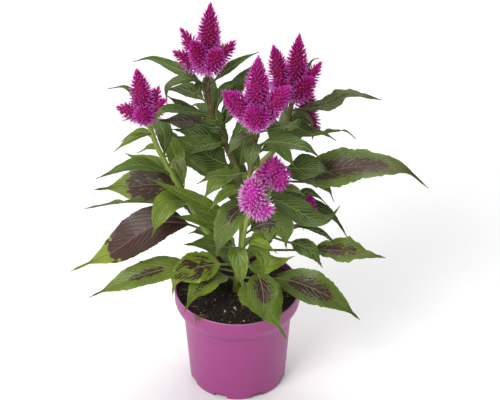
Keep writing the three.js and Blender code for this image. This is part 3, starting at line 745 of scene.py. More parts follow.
def build_pot(look):
    profile = pot_profile(look)
    points = [Vector((*polar(r, a), z)) for r, z in profile[1:-1] for a in turns(POT_SIDES)]
    bottom, floor = len(points), len(points) + 1
    points += [Vector((0, 0, profile[0][1])), Vector((0, 0, profile[-1][1]))]
    faces = ring_faces(len(profile) - 2, POT_SIDES, floor)[:-1]
    faces += [[bottom, (j + 1) % POT_SIDES, j] for j in range(POT_SIDES)]
    shells, cutters = Shells(), Shells()
    shells.add(points, faces)
    pot = shells.build("pot_shell", pot_material(look))
    for i in range(look.slots):
        turn = Matrix.Rotation(math.radians(FIRST_SLOT + 360 * i / look.slots), 4, "Z")
        block = [turn @ Vector((look.foot / MM + out, y, z))
                 for out in (-SLOT_DEPTH, SLOT_DEPTH) for y, z in SLOT_ARCH]
        cutters.add(block, ring_faces(2, len(SLOT_ARCH)))
    cut = pot.modifiers.new("slots", "BOOLEAN")
    cut.operation, cut.object, cut.solver = "DIFFERENCE", cutters.build("slot_cutter"), "EXACT"
    mesh = finished_mesh(pot)
    bpy.data.objects.remove(cut.object)
    pot.modifiers.clear()
    pot.data = mesh
    mesh.shade_smooth()
    mesh.set_sharp_from_angle(angle=SHARPER_THAN)
    place_piece(pot, "pot", "pot")


# ---- soil
SOIL_RINGS, SOIL_SIDES = 46, 120
SOIL_GAP = 2.15  # from the pot's outer radius to the soil's edge, in mm
SOIL_FOOT = ((45.0, 2.2), (50.0, 78.0))  # radius and height of the rings under its surface, in mm
CRUMB_GRID, CRUMB_MARGIN = 3.0, 1.2  # step of the grid that crumbs grow on, and its free edge
GRAIN_RINGS = ((-0.32, 0.34), (0.0, 0.5), (0.3, 0.32))  # height and radius
TILT = 0.6
FIBRE = ((-0.5, 0, 0), (-0.2, 0.1, 0.05), (0.15, -0.05, 0.08), (0.5, 0.12, 0))
# The two places where roots hang over the rim: how many, and from and to: radius in mm, paleness,
# direction in degrees, reach inside and outside the rim, and drop.
RIM_ROOTS = ((26, (0.16, 0.3), (0.0, 0.7), (-131, -121), (6, 15), (0.8, 2.2), (1, 9)),
             (5, None, (0.2, 0.9), (184, 191), (3, 8), (2, 6), (-2, 1.5)))
THIN_ROOT = 0.16  # where no radius is given


def on_soil(look, x, y, above=0.0):
    """A point of the soil's lumpy surface, or that far above it, in mm."""
    lumps = math.sin(x / 7 + 1) * math.cos(y / 6) + 0.6 * math.sin(x / 3.1 - y / 4.3)
    fine = noise.fractal(Vector((x, y, 0)) * 0.5, 0.6, 2.2, 4)
    return Vector((x, y, look.level / MM + 0.9 * lumps + 0.8 * fine - 0.4 + above))


def soil_material(look):
    finish = Finish("damp_peat", 0.95)
    spot = finish.place()
    coarse = finish.noise(spot, 420, 4, 0.7)
    base = finish.blend(coarse, srgb(22, 16, 13), look.peat[:])
    fleck = finish.step(finish.noise(spot, 1500, 3, 0.6), 0.66, 0.74)
    flecked = finish.blend(finish.scaled(fleck, 0.5), base, srgb(96, 74, 54))
    return finish.wear(flecked, coarse, 0.0012)


def crumb_material(name, dark, light):
    finish = Finish(name, 0.92)
    shade = finish.marks("shade")[0]
    grain = finish.noise(finish.place(), 1300, 3)
    tone = finish.blend(shade, dark, light)
    return finish.wear(finish.blend(finish.scaled(grain, 0.5), tone, dark), grain, 0.0004)


def lumpy_grain(draw, size=1.0, sides=6):
    """Points and faces of a lumpy grain about size across."""
    points = [Vector((r * draw.uniform(0.7, 1.2) * math.cos(a),
                      r * draw.uniform(0.7, 1.2) * math.sin(a), z + draw.uniform(-0.1, 0.1))) * size
              for z, r in GRAIN_RINGS for a in turns(sides)]
    return points, ring_faces(len(GRAIN_RINGS), sides)


def add_strand(shells, line, radius, steps=8, sides=5, **marks):
    """A thin tapered strand through the points of a line."""
    path = Path(line)
    points = []
    for i in range(steps + 1):
        t = i / steps
        along = path.tangent(t)
        side = along.orthogonal().normalized()
        other = along.cross(side)
        thick = radius * (1 - 0.5 * t)
        points += [path.point(t) + thick * (side * math.cos(a) + other * math.sin(a))
                   for a in turns(sides)]
    shells.add(points, ring_faces(steps + 1, sides), **marks)


def over_rim(draw, turn, inside, outside, drop):
    """Points of a root that lies on the soil, climbs the rim and hangs down outside."""
    rim, top = POT_RADIUS / MM, POT_HEIGHT / MM
    line = []
    for radius, z in ((rim - inside, 96.5), (rim - 0.45 * inside, 99.5), (rim - 0.6, top + 0.5),
                      (rim + 0.6 * outside, top - 0.3 * drop), (rim + outside, top - drop)):
        here = turn + draw.uniform(-0.045, 0.045)
        line.append((*polar(radius, here), z + draw.uniform(-0.5, 0.5)))
    return line


def build_loose_bits(look, paint):
    """The larger pale grains, and the dry roots that hang over the rim at two places."""
    draw = random.Random(8)
    grains, roots = Shells("shade"), Shells("shade")
    for x, y, size in LOOSE_GRAINS:
        points, faces = lumpy_grain(draw, size, 7)
        base = on_soil(look, x, y, 0.3 * size)
        grains.add([base + p for p in points], faces, shade=(1.0, 0, 0))
    place_piece(grains.build("loose_grains", paint), "soil")
    for count, thick, pale, around, *spans in RIM_ROOTS:
        for _ in range(count):
            turn = math.radians(draw.uniform(*around))
            line = over_rim(draw, turn, *(draw.uniform(*span) for span in spans))
            radius = draw.uniform(*thick) if thick else THIN_ROOT
            add_strand(roots, line, radius, 14, shade=(draw.uniform(*pale), 0, 0))
    place_piece(roots.build("rim_roots", paint), "soil")


def scatter_tree():
    """Grows a shape all over the source surface, each copy turned and sized at random."""
    tree = Growth("grains_on_soil", Shape=SHAPE, Grains=WHOLE, Smallest=PART, Largest=PART,
                  Sink=PART, Seed=WHOLE, Material=PAINT)
    given = tree.given
    ground = given["Geometry"]
    area = tree.result("GeometryNodeAttributeStatistic",
                       {"Geometry": ground, 2: tree.result("GeometryNodeInputMeshFaceArea")},
                       socket="Sum", domain="FACE", data_type="FLOAT")
    spots = tree.result("GeometryNodeDistributePointsOnFaces",
                        {"Mesh": ground, "Density": tree.over(given["Grains"], area),
                         "Seed": given["Seed"]})
    marked = tree.store(spots, "shade", tree.vector(tree.random(0, 1, 1), 0, 0))
    turn = tree.vector(tree.random(-TILT, TILT, 2), tree.random(-TILT, TILT, 3),
                       tree.random(0, FULL_TURN, 4))
    spread = tree.less(given["Largest"], given["Smallest"])
    size = tree.plus(given["Smallest"], tree.times(tree.power(tree.random(0, 1, 5), 2.0), spread))
    sunk = tree.vector(0, 0, tree.times(given["Sink"], size))
    lowered = tree.result("GeometryNodeSetPosition", {"Geometry": marked, "Offset": sunk})
    shape = tree.result("GeometryNodeObjectInfo", {"Object": given["Shape"]}, socket="Geometry")
    return tree.close(tree.result("GeometryNodeInstanceOnPoints", {
        "Points": lowered, "Instance": shape, "Rotation": turn, "Scale": size}))


def build_bed(look):
    """The body of the soil, from the pot's floor to its lumpy surface."""
    edge = POT_RADIUS / MM - SOIL_GAP
    points = [Vector((*polar(r, a), z)) for r, z in SOIL_FOOT for a in turns(SOIL_SIDES)]
    points += [on_soil(look, *polar(edge * (1 - i / SOIL_RINGS), a))
               for i in range(SOIL_RINGS) for a in turns(SOIL_SIDES)]
    points.append(on_soil(look, 0, 0))
    shells = Shells()
    shells.add(points, ring_faces(SOIL_RINGS + len(SOIL_FOOT), SOIL_SIDES, len(points) - 1))
    place_piece(shells.build("soil_bed", soil_material(look)), "soil", "soil")


def crumb_ground(look):
    """An open sheet on the soil's surface, on which the crumbs grow."""
    reach = POT_RADIUS / MM - SOIL_GAP - CRUMB_MARGIN
    steps = range(-int(reach // CRUMB_GRID), int(reach // CRUMB_GRID) + 1)
    spots = {(i, j): (i * CRUMB_GRID, j * CRUMB_GRID) for i in steps for j in steps}
    spots = {cell: spot for cell, spot in spots.items() if math.hypot(*spot) < reach}
    order = {cell: i for i, cell in enumerate(spots)}
    sheet = Shells()
    sheet.points = [on_soil(look, *spot) for spot in spots.values()]
    corners = ([(i, j), (i + 1, j), (i + 1, j + 1), (i, j + 1)] for i, j in spots)
    sheet.faces = [[order[c] for c in four] for four in corners if all(c in order for c in four)]
    sheet.kinds = [0] * len(sheet.faces)
    return sheet.build("soil_surface")


def build_soil(look):
    build_bed(look)
    surface, tree = crumb_ground(look), scatter_tree()
    crumbs, fibres = Shells(), Shells()
    crumbs.add(*lumpy_grain(random.Random(3)))
    add_strand(fibres, FIBRE, 0.028)
    crumb, fibre = crumbs.build("crumb"), fibres.build("fibre")
    dark = crumb_material("peat_crumb", srgb(20, 15, 12), srgb(74, 56, 42))
    pale = crumb_material("pale_grain", srgb(112, 88, 60), look.pale[:])
    for name, shape, grains, small, large, sink, seed, paint in (
            ("soil_crumbs", crumb, look.crumbs, 0.7, look.crumb / MM, 0.0001, 4, dark),
            ("pale_grains", crumb, look.grains, 0.6, 1.7, 0.0003, 11, pale),
            ("root_bits", fibre, look.roots, 5.0, 13.0, 0.00003, 23, pale)):
        mesh = tree.grow(surface.data, Shape=shape, Grains=grains, Smallest=small, Largest=large,
                         Sink=sink, Seed=seed, Material=paint)
        mesh.name = name
        place_piece(linked(name, mesh), "soil")
    build_loose_bits(look, pale)
    for helper in (surface, crumb, fibre):
        bpy.data.objects.remove(helper)


# ---- stems and leaves
ROD_SIDES, ROD_STEP, ROD_FEWEST = 16, 3, 24  # sides, length of a facet in mm, fewest facets
ROD_SLIM = 0.93  # of its radius, between two leaves
NODE_SWELL, NODE_REACH = 0.09, 2.6  # a rod swells where a leaf leaves it, over that reach in mm
RIDGES, RIDGE_DEPTH = 8, 0.035
VEIN_BEND = (0.6, 0.5)  # side veins leave the rib steeply and bend towards the tip
VEIN_SHIFT = 0.25  # veins of the two halves alternate
VEIN_RISE, FEWEST_VEINS = 2.1, 4.0
# An ovate blade: where it ends, from which width on and by how much it ends sooner, how far its
# widest place lies before the middle, and how slim it is at its foot and more so towards its tip.
OVATE_END, BROAD, SOONER, FORWARD, SLIM, SLIMMER = 0.97, 32, 0.01, 0.75, 1.1, 0.8
# Its drawn-out tip: where that starts, its slope, and its least and greatest half width in mm.
TIP_FROM, TIP_SLOPE, TIP_LEAST, TIP_MOST = 0.8, 0.6, 0.35, 1.3
# Facets across a blade, along its stalk in mm, and the fewest and most along the blade.
COLUMNS, STALK_STEP, BLADE_FEWEST, BLADE_MOST = 12, 4, 14, 64
STALK_END, STALK_RADIUS = 0.14, 1.1  # where the stalk ends in the blade, and its radius in mm
ROLL_END = 0.3  # the part of the leaf over which its roll builds up
# Teeth of the edge: how fast they change along the blade, from leaf to leaf and from side to side,
# and their size.
TEETH = ((26, 7.3, 3.1, 0.5), (60, 3.7, 5.7, 0.35))
TOOTH_LEAST, TOOTH_WAVY, WAVE_HEIGHT = 0.06, 0.12, 0.06
# Waves of the edge, as their rates along the blade, from leaf to leaf and across it.
LONG_WAVE, SHORT_WAVE, SHORT_PART = (14, 1, 1.3), (37, 2.3, 2.1), 0.35
SHEET, FOLD, QUILT = 0.22, 0.22, 0.12  # half thickness, fold along the rib, rise between veins
RIB_REACH, RIB_FACE, RIB_BACK = 0.9, 0.3, 0.9  # the midrib, sunk in the face, proud of the back


def stem_material():
    finish = Finish("stem_skin", 0.5)
    along, turn, red = finish.marks("rod")
    ridge = finish.math("SINE", finish.scaled(turn, RIDGES))
    cloud = finish.noise(finish.place(), 120, 3)
    lit = finish.step(ridge, -1, 1, 0.1, 0.9)
    green = finish.blend(lit, srgb(112, 136, 46), srgb(160, 178, 80))
    flush = finish.times(finish.step(along, 0.25, 0.9, 0.3, 1.4), red)
    flush = finish.times(flush, finish.step(cloud, 0.3, 0.6, 0.5, 1.0), clamp=True)
    warm = finish.blend(flush, green, srgb(84, 50, 40))
    return finish.wear(warm, finish.plus(finish.scaled(ridge, 0.3), cloud), 0.0002)


def leaf_material(look, name, underside):
    finish = Finish(name, 0.45, gloss=0.36)
    plus, less, times, larger = finish.plus, finish.less, finish.times, finish.larger
    scaled, step, blend, vector = finish.scaled, finish.step, finish.blend, finish.vector
    across, half, along = finish.marks("blade")
    tint, grey, warmth = finish.marks("tone")
    start, end, width = finish.marks("patch")
    streaky, specked, seed = finish.marks("breaks")
    count, rise, _ = finish.marks("veins")
    spot = finish.place()
    cloud, mottle = finish.noise(spot, 55, 3), finish.noise(spot, 420, 4, 0.65)

    # Side veins lie at equal steps along the blade. The midrib narrows towards the tip.
    off = finish.math("ABSOLUTE", across)
    out = finish.over(off, larger(half, 0.4))
    bend = times(out, scaled(out, VEIN_BEND[1], VEIN_BEND[0]))
    side = scaled(finish.math("SIGN", across), VEIN_SHIFT)
    order = plus(plus(less(times(along, count), times(bend, rise)), side), scaled(cloud, 0.2))
    near = less(0.5, finish.math("ABSOLUTE", less(finish.math("FRACT", order), 0.5)))
    fade = times(step(out, 0.6, 1.0, 1.0, 0.0), larger(scaled(tint, -1.1, 1.3), 0.3))
    vein = times(step(near, 0.02, 0.09, 1.0, 0.0), fade)
    # The groove mask sets both the relief beside the veins and the painted shade there.
    groove = times(step(near, 0.05, 0.3, 1.0, 0.0), fade)
    rib = step(finish.over(off, larger(scaled(along, -0.8, 1.0), 0.25)), 0.35, 0.9, 1.0, 0.0)

    # The green is lighter in streaks along the veins and at the edge. Beside the veins it is
    # darkened as painted shade in the grooves.
    streaks = finish.noise(vector(scaled(order, 1.9), scaled(out, 1.2), seed), 1.0, 4, 0.7)
    fresh = plus(plus(tint, scaled(cloud, 0.5, -0.25)), scaled(mottle, 0.16, -0.08))
    fresh = plus(fresh, scaled(streaks, 0.8, -0.4))
    green = blend(step(fresh, 0.0, 0.5), look.dark[:], look.middle[:])
    green = blend(step(fresh, 0.42, 1.0), green, look.light[:])
    green = blend(times(step(out, 0.7, 1.0), scaled(tint, 0.25)), green, look.light[:])
    # Painted shade: darker green in the grooves beside the veins.
    green = blend(scaled(groove, 0.65), green, look.dark[:])

    # The maroon patch has ragged ends, and breaks up into streaks, specks and islands.
    ragged = finish.noise(vector(scaled(along, 12), scaled(out, 3), seed), 1.0, 4, 0.7)
    specks = finish.noise(spot, 480, 2, 0.6)
    islands = vector(scaled(order, 1.3), scaled(out, 4.0), plus(seed, 40))
    islands = finish.noise(islands, 1.0, 3, 0.6)
    moved = plus(along, scaled(ragged, 0.36, -0.18))
    body = times(step(less(moved, start), -0.04, 0.1), step(less(end, moved), -0.03, 0.1))
    torn = plus(times(streaky, less(streaks, 0.5)), times(specked, less(specks, 0.5)))
    inside = less(times(body, plus(width, torn)), out)
    kept = step(less(islands, scaled(streaky, 0.2, 0.2)), -0.03, 0.03)
    patch = times(step(inside, -0.03, 0.05), times(step(body, 0.05, 0.4), step(width, 0.0, 0.05)))
    patch = times(patch, kept)
    maroon = blend(cloud, look.maroon[:], shaded(look.maroon, 0.55))
    maroon = blend(times(mottle, scaled(warmth, 0.45)), maroon, srgb(88, 52, 58))

    if underside:
        ground = blend(scaled(patch, 0.4), blend(0.5, green, look.back[:]), maroon)
        rough, relief = scaled(mottle, 0.1, 0.58), plus(scaled(vein, 0.6), rib)
    else:
        ground = blend(scaled(patch, 0.94), green, maroon)
        rough = scaled(mottle, 0.2, 0.28)
        relief = times(plus(groove, rib), scaled(tint, 0.5, -0.75))
    ground = blend(scaled(grey, 0.75), ground, look.grey[:])
    lines = larger(times(vein, scaled(patch, -0.54, 0.74)), scaled(rib, 0.62))
    ground = blend(lines, ground, blend(warmth, srgb(164, 184, 104), look.pink[:]))
    return finish.wear(ground, plus(relief, scaled(mottle, 0.2)), 0.001, rough)


def blade_half(part, wide):
    """Half width along a blade: ovate, with a drawn-out tip."""
    end = OVATE_END - SOONER * max(0.0, wide - BROAD)
    body = max(0.0, math.sin(math.pi * min(1.0, part / end) ** FORWARD))
    drawn = TIP_SLOPE * wide * (1 - part) if part > TIP_FROM else 0
    return max(TIP_LEAST, min(TIP_MOST, drawn), wide / 2 * body ** (SLIM + SLIMMER * part ** 3))


def stations(total, stalk, step):
    """Pairs of the place along the midrib and along the blade; the stalk runs from -1 to 0."""
    blade = total - stalk
    before = max(2, round(stalk / STALK_STEP))
    after = min(BLADE_MOST, max(BLADE_FEWEST, round(blade / step)))
    places = [(stalk / total * i / before, i / before - 1) for i in range(before)]
    return places + [((stalk + blade * i / after) / total, i / after) for i in range(after + 1)]


def tooth(s, order, way):
    """How far the edge's teeth stand out at a place of a leaf."""
    return sum(size * noise.noise(Vector((s * along, order * leaf, side * (way > 0))))
               for along, leaf, side, size in TEETH)


def wave_at(rates, *place):
    return math.sin(sum(rate * part for rate, part in zip(rates, place)))


def add_leaf(shells, look, stem, row, order):
    height, stalk, wide, roll, wave, style, *through = row
    tint, grey, warmth, start, end, width, streaky, specked = LOOKS[style]
    root = stem.point(stem.by_height(height))
    path = Path([root, *through])
    total, tip = path.marks[-1], path.point(1)
    out = (tip + path.point(0.5) - 2 * root) * Vector((1, 1, 0))
    across = Vector((0, 0, 1)).cross(out.normalized())
    count = max(FEWEST_VEINS, (total - stalk) / (look.spacing / MM) / (0.8 + 0.8 * tint))
    rise = VEIN_RISE * count * wide / 2 / (total - stalk)
    size = 2 * COLUMNS
    points, blades = [], []
    places = stations(total, stalk, look.step / MM)
    for u, s in places:
        t = path.by_length(u)
        centre, along = path.point(t), path.tangent(t)
        side = (across - across.dot(along) * along).normalized()
        face = along.cross(side)
        front = -1 if along.cross(face).y > 0 else 1
        turn = Matrix.Rotation(front * math.radians(roll) * min(1.0, u / ROLL_END), 3, along)
        side, face = turn @ side, turn @ face
        on_blade = max(0.0, s)
        stalk_part = 1 - smooth(0, STALK_END, s)
        half = max(STALK_RADIUS * stalk_part, blade_half(on_blade, wide))
        swing = WAVE_HEIGHT * wide * wave * math.sin(math.pi * on_blade)
        for j in range(size):
            upper = j <= COLUMNS
            way = 1 - 2 * j / COLUMNS if upper else 2 * (j - COLUMNS) / COLUMNS - 1
            edge = abs(way)
            mm = way * half
            jag = (TOOTH_LEAST + TOOTH_WAVY * wave) * tooth(s, order, way)
            ripple = swing * wave_at(LONG_WAVE, s, order, way)
            ripple += SHORT_PART * swing * wave_at(SHORT_WAVE, s, order, way) * edge
            bend = edge * (VEIN_BEND[0] + VEIN_BEND[1] * edge)
            vein = on_blade * count - bend * rise + (VEIN_SHIFT if way > 0 else -VEIN_SHIFT)
            quilt = QUILT * abs(math.sin(math.pi * vein)) * (1 - edge ** 3) * min(1.0, edge * 4)
            quilt *= (1 - stalk_part) * min(1.0, half / 6)
            lift = edge ** 1.15 * (FOLD * half + ripple) + quilt
            round_off = math.sqrt(max(0.0, 1 - way * way))
            sheet, bulge = SHEET * (1 - edge ** 6), math.exp(-(mm / RIB_REACH) ** 2)
            if upper:
                thick = mix(sheet - RIB_FACE * bulge * min(1.0, half / 5), round_off, stalk_part)
            else:
                thick = -mix(sheet + RIB_BACK * (1 - 0.7 * on_blade) * bulge, round_off, stalk_part)
            wide_here = 1 + jag * edge * (1 - stalk_part)
            points.append(centre + side * mm * wide_here + face * (lift + thick))
            blades.append((mm, half, s))
    points.append(tip)
    blades.append((0.0, TIP_LEAST, 1.0))
    kinds = [0 if j < COLUMNS else 1 for _ in places for j in range(size)] + [0]
    sharp = [(i + j, i + size + j) for i in range(0, len(points) - 1 - size, size)
             for j in (0, COLUMNS)]
    shells.add(points, ring_faces(len(places), size, len(points) - 1), kinds, sharp, blade=blades,
               tone=(tint, grey, warmth), patch=(start, end, width),
               breaks=(streaky, specked, order * 5.3), veins=(count, rise, 0.0))


def build_stem(look, name, face, back, skin):
    foot, top, red, *line = STEMS[name]
    path = Path(line)
    leaves, rod = Shells("blade", "tone", "patch", "breaks", "veins"), Shells("rod")
    for order, row in enumerate(LEAVES[name]):
        add_leaf(leaves, look, path, row, order)
    place_piece(leaves.build(name.replace("stem", "leaves"), face, back), "leaves", name)

    long = path.marks[-1]
    nodes = [path.by_height(row[0]) for row in LEAVES[name]]
    steps = max(ROD_FEWEST, round(long / ROD_STEP))
    points, marks = [], []
    for i in range(steps + 1):
        t = i / steps
        centre, along = path.point(t), path.tangent(t)
        side = Vector((0, 1, 0)).cross(along).normalized()
        other = along.cross(side)
        swell = sum(math.exp(-((t - node) * long / NODE_REACH) ** 2) for node in nodes)
        radius = mix(foot, top, t) * (ROD_SLIM + NODE_SWELL * min(1.0, swell))
        for turn in turns(ROD_SIDES):
            groove = radius * (1 + RIDGE_DEPTH * math.cos(RIDGES * turn))
            points.append(centre + side * groove * math.cos(turn) + other * groove * math.sin(turn))
            marks.append((t, turn, red))
    rod.add(points, ring_faces(steps + 1, ROD_SIDES), rod=marks)
    place_piece(rod.build(name + "_rod", skin), "leaves", name)


# ---- plumes
# Bracts of a floret: lean, turn and size. Then height and radius along one, its breadth and depth,
# and its tip.
BRACTS = ((0.0, 0.0, 1.0), (0.3, 0.4, 0.74), (0.34, 3.3, 0.68))
BRACT_RINGS, BRACT_SIDES = ((0.0, 0.056), (0.35, 0.088), (0.7, 0.06)), 4
BRACT_BREADTH, BRACT_DEPTH, BRACT_TIP = 1.1, 0.75, (0.03, 0, 1)
# Curves along a spike, as pairs of place and height: how far its florets turn up, how old they are,
# and how long.
TURNED_UP = ((0, 0.06), (0.1, 0.24), (0.3, 0.44), (0.6, 0.58), (0.85, 0.88), (1, 1.0))
AGE = ((0, 1.0), (0.25, 0.7), (0.5, 0.4), (0.8, 0.1), (1, 0))
SIZE = ((0, 0.95), (0.2, 1.0), (0.6, 0.92), (1, 0.72))
GOLDEN_ANGLE = math.radians(137.508)
LOWEST_LEAN = 0.8  # florets at the foot hang this far below the level, in radians
CORE_LENGTH, CORE_PART, CORE_LEAST = 0.96, 0.6, 0.03  # of the spike's length and radius
CORE_SWELL, CORE_TAPER = (3.927, 0.6283), (1.316, -0.316)  # factor and start of each
CORE_STEPS, CORE_SIDES = 22, 14
CROWDING = 0.7  # sets the florets closer towards the tip
SPIRAL_PLAY, LEAN_PLAY, LONG_PLAY, BROAD_PLAY = 0.1, 0.07, (0.88, 1.1), (0.75, 1.0)
ASIDE = Vector((0.3, 1, 0.1))  # no spike points this way
WIDEST_FLORET = 7  # florets longer than this, in mm, get no wider
FLORET_DENSITY = 2.45
FIRST_SEED, SEED_STEP = 17, 10


def floret_material(look):
    finish = Finish("floret", 0.6, gloss=0.25)
    reach, shade, pale = finish.marks("bloom")
    scaled, step, blend = finish.scaled, finish.step, finish.blend
    body = blend(step(reach, 0.1, 0.55), blend(pale, look.deep[:], look.rich[:]), look.rich[:])
    body = blend(scaled(pale, 0.24), body, look.tips[:])
    body = blend(finish.times(shade, scaled(pale, -0.35, 0.45)), body, srgb(186, 10, 104))
    ends = step(reach, scaled(pale, -0.3, 0.5), scaled(pale, -0.1, 1.0))
    ends = finish.times(ends, scaled(pale, 0.58, 0.42))
    grain = finish.noise(finish.place(), 1600, 2)
    tips = blend(pale, look.tips[:], look.faded[:])
    return finish.wear(blend(ends, body, tips), grain, 0.00008)


def floret_shape():
    """A floret one unit long: a slender pointed bract among shorter ones, pointing along +Z."""
    shells = Shells("bloom")
    for lean, turn, size in BRACTS:
        aim = Matrix.Rotation(turn, 3, "Z") @ Matrix.Rotation(lean, 3, "Y")
        flat = [(*polar(r, a), z) for z, r in BRACT_RINGS for a in turns(BRACT_SIDES)]
        points = [aim @ Vector((x * BRACT_BREADTH, y * BRACT_DEPTH, z)) * size for x, y, z in flat]
        marks = [(z * size, 0.0, 0.0) for z, _ in BRACT_RINGS for _ in range(BRACT_SIDES)]
        points.append(aim @ Vector(BRACT_TIP) * size)
        marks.append((1.0, 0.0, 0.0))
        faces = ring_faces(len(BRACT_RINGS), BRACT_SIDES, len(points) - 1)
        shells.add(points, faces, bloom=marks)
    return shells.build("floret")


def core_radius(tree, part):
    """Radius of a spike's core: it swells from the foot, then tapers to the tip."""
    swell = tree.math("SINE", tree.smaller(tree.scaled(part, *CORE_SWELL), math.pi / 2))
    spent = tree.larger(tree.scaled(part, *CORE_TAPER), 0.0)
    taper = tree.less(1.0, tree.power(spent, tree.given["Blunt"]))
    shape = tree.larger(tree.times(tree.scaled(swell, CORE_PART), taper), CORE_LEAST)
    return tree.times(shape, tree.given["Radius"])


def spike_tree():
    """Covers a spindle with florets set in a close spiral."""
    tree = Growth("florets_on_spike", Florets=WHOLE, Length=PART, Radius=PART, Blunt=PART,
                  Reach=PART, Paleness=PART, Seed=WHOLE, Material=PAINT)
    given, plus, less, times, vector = tree.given, tree.plus, tree.less, tree.times, tree.vector

    index = tree.result("GeometryNodeInputIndex")
    share = tree.over(plus(index, 0.5), given["Florets"])
    place = less(1.0, tree.power(less(1.0, share), CROWDING))
    turn = plus(tree.scaled(index, GOLDEN_ANGLE), tree.random(-SPIRAL_PLAY, SPIRAL_PLAY, 1))
    radius = core_radius(tree, place)
    cosine, sine = tree.math("COSINE", turn), tree.math("SINE", turn)
    height = times(tree.scaled(place, CORE_LENGTH), given["Length"])
    spot = vector(times(radius, cosine), times(radius, sine), height)
    points = tree.result("GeometryNodePoints", {"Count": given["Florets"], "Position": spot})

    rise = tree.scaled(tree.profile(place, TURNED_UP), math.pi / 2 + LOWEST_LEAN, -LOWEST_LEAN)
    lean = plus(rise, tree.random(-LEAN_PLAY, LEAN_PLAY, 2))
    level, up = tree.math("COSINE", lean), tree.math("SINE", lean)
    aim = vector(times(level, cosine), times(level, sine), up)
    old = tree.larger(given["Paleness"], tree.profile(place, AGE))
    points = tree.store(points, "floret", vector(0.0, tree.random(0, 1, 3), old))
    face = tree.result("FunctionNodeAlignRotationToVector", {"Vector": aim}, axis="Z")
    twist = tree.result("FunctionNodeEulerToRotation",
                        {"Euler": vector(0.0, 0.0, tree.random(0, FULL_TURN, 4))})
    spun = tree.result("FunctionNodeRotateRotation", {"Rotation": face, "Rotate By": twist},
                       rotation_space="LOCAL")
    size = times(times(tree.random(*LONG_PLAY, 5), given["Reach"]), tree.profile(place, SIZE))
    thin = times(tree.smaller(given["Reach"], WIDEST_FLORET), tree.random(*BROAD_PLAY, 6))
    copies = tree.result("GeometryNodeInstanceOnPoints", {
        "Points": points, "Instance": given["Geometry"], "Rotation": spun,
        "Scale": vector(thin, thin, size)})

    end = vector(0.0, 0.0, tree.scaled(given["Length"], CORE_LENGTH))
    line = tree.result("GeometryNodeCurvePrimitiveLine", {"End": end})
    line = tree.result("GeometryNodeResampleCurve", {"Curve": line, "Count": CORE_STEPS})
    thick = core_radius(tree, tree.result("GeometryNodeSplineParameter", socket="Factor"))
    ring = tree.result("GeometryNodeCurvePrimitiveCircle",
                       {"Resolution": CORE_SIDES, "Radius": 1.0})
    stalk = tree.result("GeometryNodeCurveToMesh", {
        "Curve": line, "Profile Curve": ring, "Scale": thick, "Fill Caps": True})
    both = tree.add("GeometryNodeJoinGeometry")
    for made in (copies, stalk):
        tree.tree.links.new(made, both.inputs[0])
    return tree.close(both.outputs[0])


def build_plume(look, name, tree, floret, paint):
    pale, reach, blunt, spikes = PLUMES[name]
    meshes = []
    for order, (foot, tip, radius) in enumerate(spikes):
        foot, tip = Vector(foot), Vector(tip)
        long, axis = (tip - foot).length, (tip - foot).normalized()
        side = ASIDE.cross(axis).normalized()
        mesh = tree.grow(
            floret, Florets=round(FLORET_DENSITY * long * radius / (look.gap / MM) ** 2),
            Length=long * MM, Radius=radius * MM, Blunt=blunt, Reach=reach, Paleness=pale,
            Seed=FIRST_SEED + SEED_STEP * order, Material=paint)
        stand = Matrix((side, axis.cross(side), axis)).transposed().to_4x4()
        stand.translation = foot * MM
        mesh.transform(stand)
        for bloom, own in zip(mesh.attributes["bloom"].data, mesh.attributes["floret"].data):
            bloom.vector = (bloom.vector[0], own.vector[1], max(pale, own.vector[2]))
        meshes.append(mesh)
    place_piece(joined(name.replace("head", "plume"), meshes), "florets", name)


# ---- studio
LOOKED_AT = Vector((12, 0, 202.5)) * MM
FLOOR_REACH = 6000  # in mm
SENSOR, FARTHEST = 36, 50  # the camera's sensor in mm, and how far it sees in metres
# Each lamp: place and size in metres, and its power as a part of the key light's.
LAMPS = {"key": ((-1.15, -1.4, 1.7), 1.1, 1.0), "fill": ((1.7, -1.1, 0.9), 1.6, 0.02),
         "top": ((0.2, 0.7, 2.0), 1.4, 0.65)}
SKY = 0.4


def build_studio(look):
    scene = bpy.context.scene
    back = Vector((0, -math.cos(look.rise), math.sin(look.rise)))
    camera = linked("camera", bpy.data.cameras.new("camera"))
    camera.data.lens, camera.data.sensor_width = look.lens, SENSOR
    camera.data.clip_end = FARTHEST
    camera.location = LOOKED_AT + back * look.distance
    camera.rotation_euler = (math.pi / 2 - look.rise, 0, 0)
    scene.camera = camera

    floor = Shells()
    corners = ((-1, -1), (1, -1), (1, 1), (-1, 1))
    floor.points = [Vector((x, y, 0)) * FLOOR_REACH for x, y in corners]
    floor.faces, floor.kinds = [[0, 1, 2, 3]], [0]
    finish = Finish("pale_floor", 0.9)
    finish.shader["Base Color"].default_value = look.floor[:]
    floor.build("studio_floor", finish.material)

    for name, (place, size, part) in LAMPS.items():
        lamp = linked(name, bpy.data.lights.new(name, "AREA"))
        lamp.data.size, lamp.data.energy = size, look.key * part
        lamp.location = place
        lamp.rotation_euler = (LOOKED_AT - Vector(place)).to_track_quat("-Z", "Y").to_euler()
    world = bpy.data.worlds.new("studio")
    world.use_nodes = True
    sky = world.node_tree.nodes["Background"].inputs
    sky["Color"].default_value, sky["Strength"].default_value = (1, 1, 1, 1), SKY
    scene.world = world
    scene.view_settings.view_transform = "Standard"


# ---- operators and panel
class CELOSIA_OT_pot(bpy.types.Operator):
    """Build the moulded pot with its rim band and drain slots"""

    bl_idname = "celosia.pot"
    bl_label = "Build pot"

    def execute(self, context):
        build_pot(context.scene.celosia_pot)
        return {"FINISHED"}


class CELOSIA_OT_soil(bpy.types.Operator):
    """Build the soil with its crumbs, pale grains and root bits"""

    bl_idname = "celosia.soil"
    bl_label = "Build soil"

    def execute(self, context):
        build_soil(context.scene.celosia_soil)
        return {"FINISHED"}


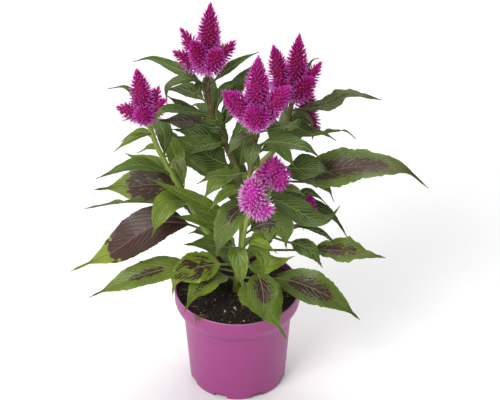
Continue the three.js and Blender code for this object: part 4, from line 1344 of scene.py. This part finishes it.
class CELOSIA_OT_foliage(bpy.types.Operator):
    """Build every stem with its veined leaves"""

    bl_idname = "celosia.foliage"
    bl_label = "Build stems and leaves"

    def execute(self, context):
        look = context.scene.celosia_leaf
        face, back = leaf_material(look, "leaf_face", False), leaf_material(look, "leaf_back", True)
        skin = stem_material()
        for name in LEAVES:
            build_stem(look, name, face, back, skin)
        return {"FINISHED"}


class CELOSIA_OT_plumes(bpy.types.Operator):
    """Cover every flower head's spikes with florets"""

    bl_idname = "celosia.plumes"
    bl_label = "Build plumes"

    def execute(self, context):
        look = context.scene.celosia_floret
        floret, tree, paint = floret_shape(), spike_tree(), floret_material(look)
        for name in PLUMES:
            build_plume(look, name, tree, floret.data, paint)
        bpy.data.objects.remove(floret)
        return {"FINISHED"}


class CELOSIA_OT_studio(bpy.types.Operator):
    """Set up the camera, the pale floor and the soft lights"""

    bl_idname = "celosia.studio"
    bl_label = "Set up studio"

    def execute(self, context):
        build_studio(context.scene.celosia_studio)
        return {"FINISHED"}


OPERATORS = (CELOSIA_OT_studio, CELOSIA_OT_pot, CELOSIA_OT_soil, CELOSIA_OT_foliage,
             CELOSIA_OT_plumes)


class CELOSIA_PT_panel(bpy.types.Panel):
    bl_label = "Celosia"
    bl_space_type = "VIEW_3D"
    bl_region_type = "UI"
    bl_category = "Celosia"

    def draw(self, context):
        for operator in OPERATORS:
            self.layout.operator(operator.bl_idname)
        for name, group in GROUPS.items():
            box = self.layout.box()
            box.label(text=group.__name__)
            for key in group.__annotations__:
                box.prop(getattr(context.scene, name), key)


CLASSES = (*GROUPS.values(), *OPERATORS, CELOSIA_PT_panel)


def register():
    for cls in CLASSES:
        bpy.utils.register_class(cls)
    for name, group in GROUPS.items():
        setattr(bpy.types.Scene, name, bpy.props.PointerProperty(type=group))


def unregister():
    for name in GROUPS:
        delattr(bpy.types.Scene, name)
    for cls in reversed(CLASSES):
        bpy.utils.unregister_class(cls)


def main():
    register()
    for operator in OPERATORS:
        group, name = operator.bl_idname.split(".")
        getattr(getattr(bpy.ops, group), name)()


if __name__ == "__main__":
    main()
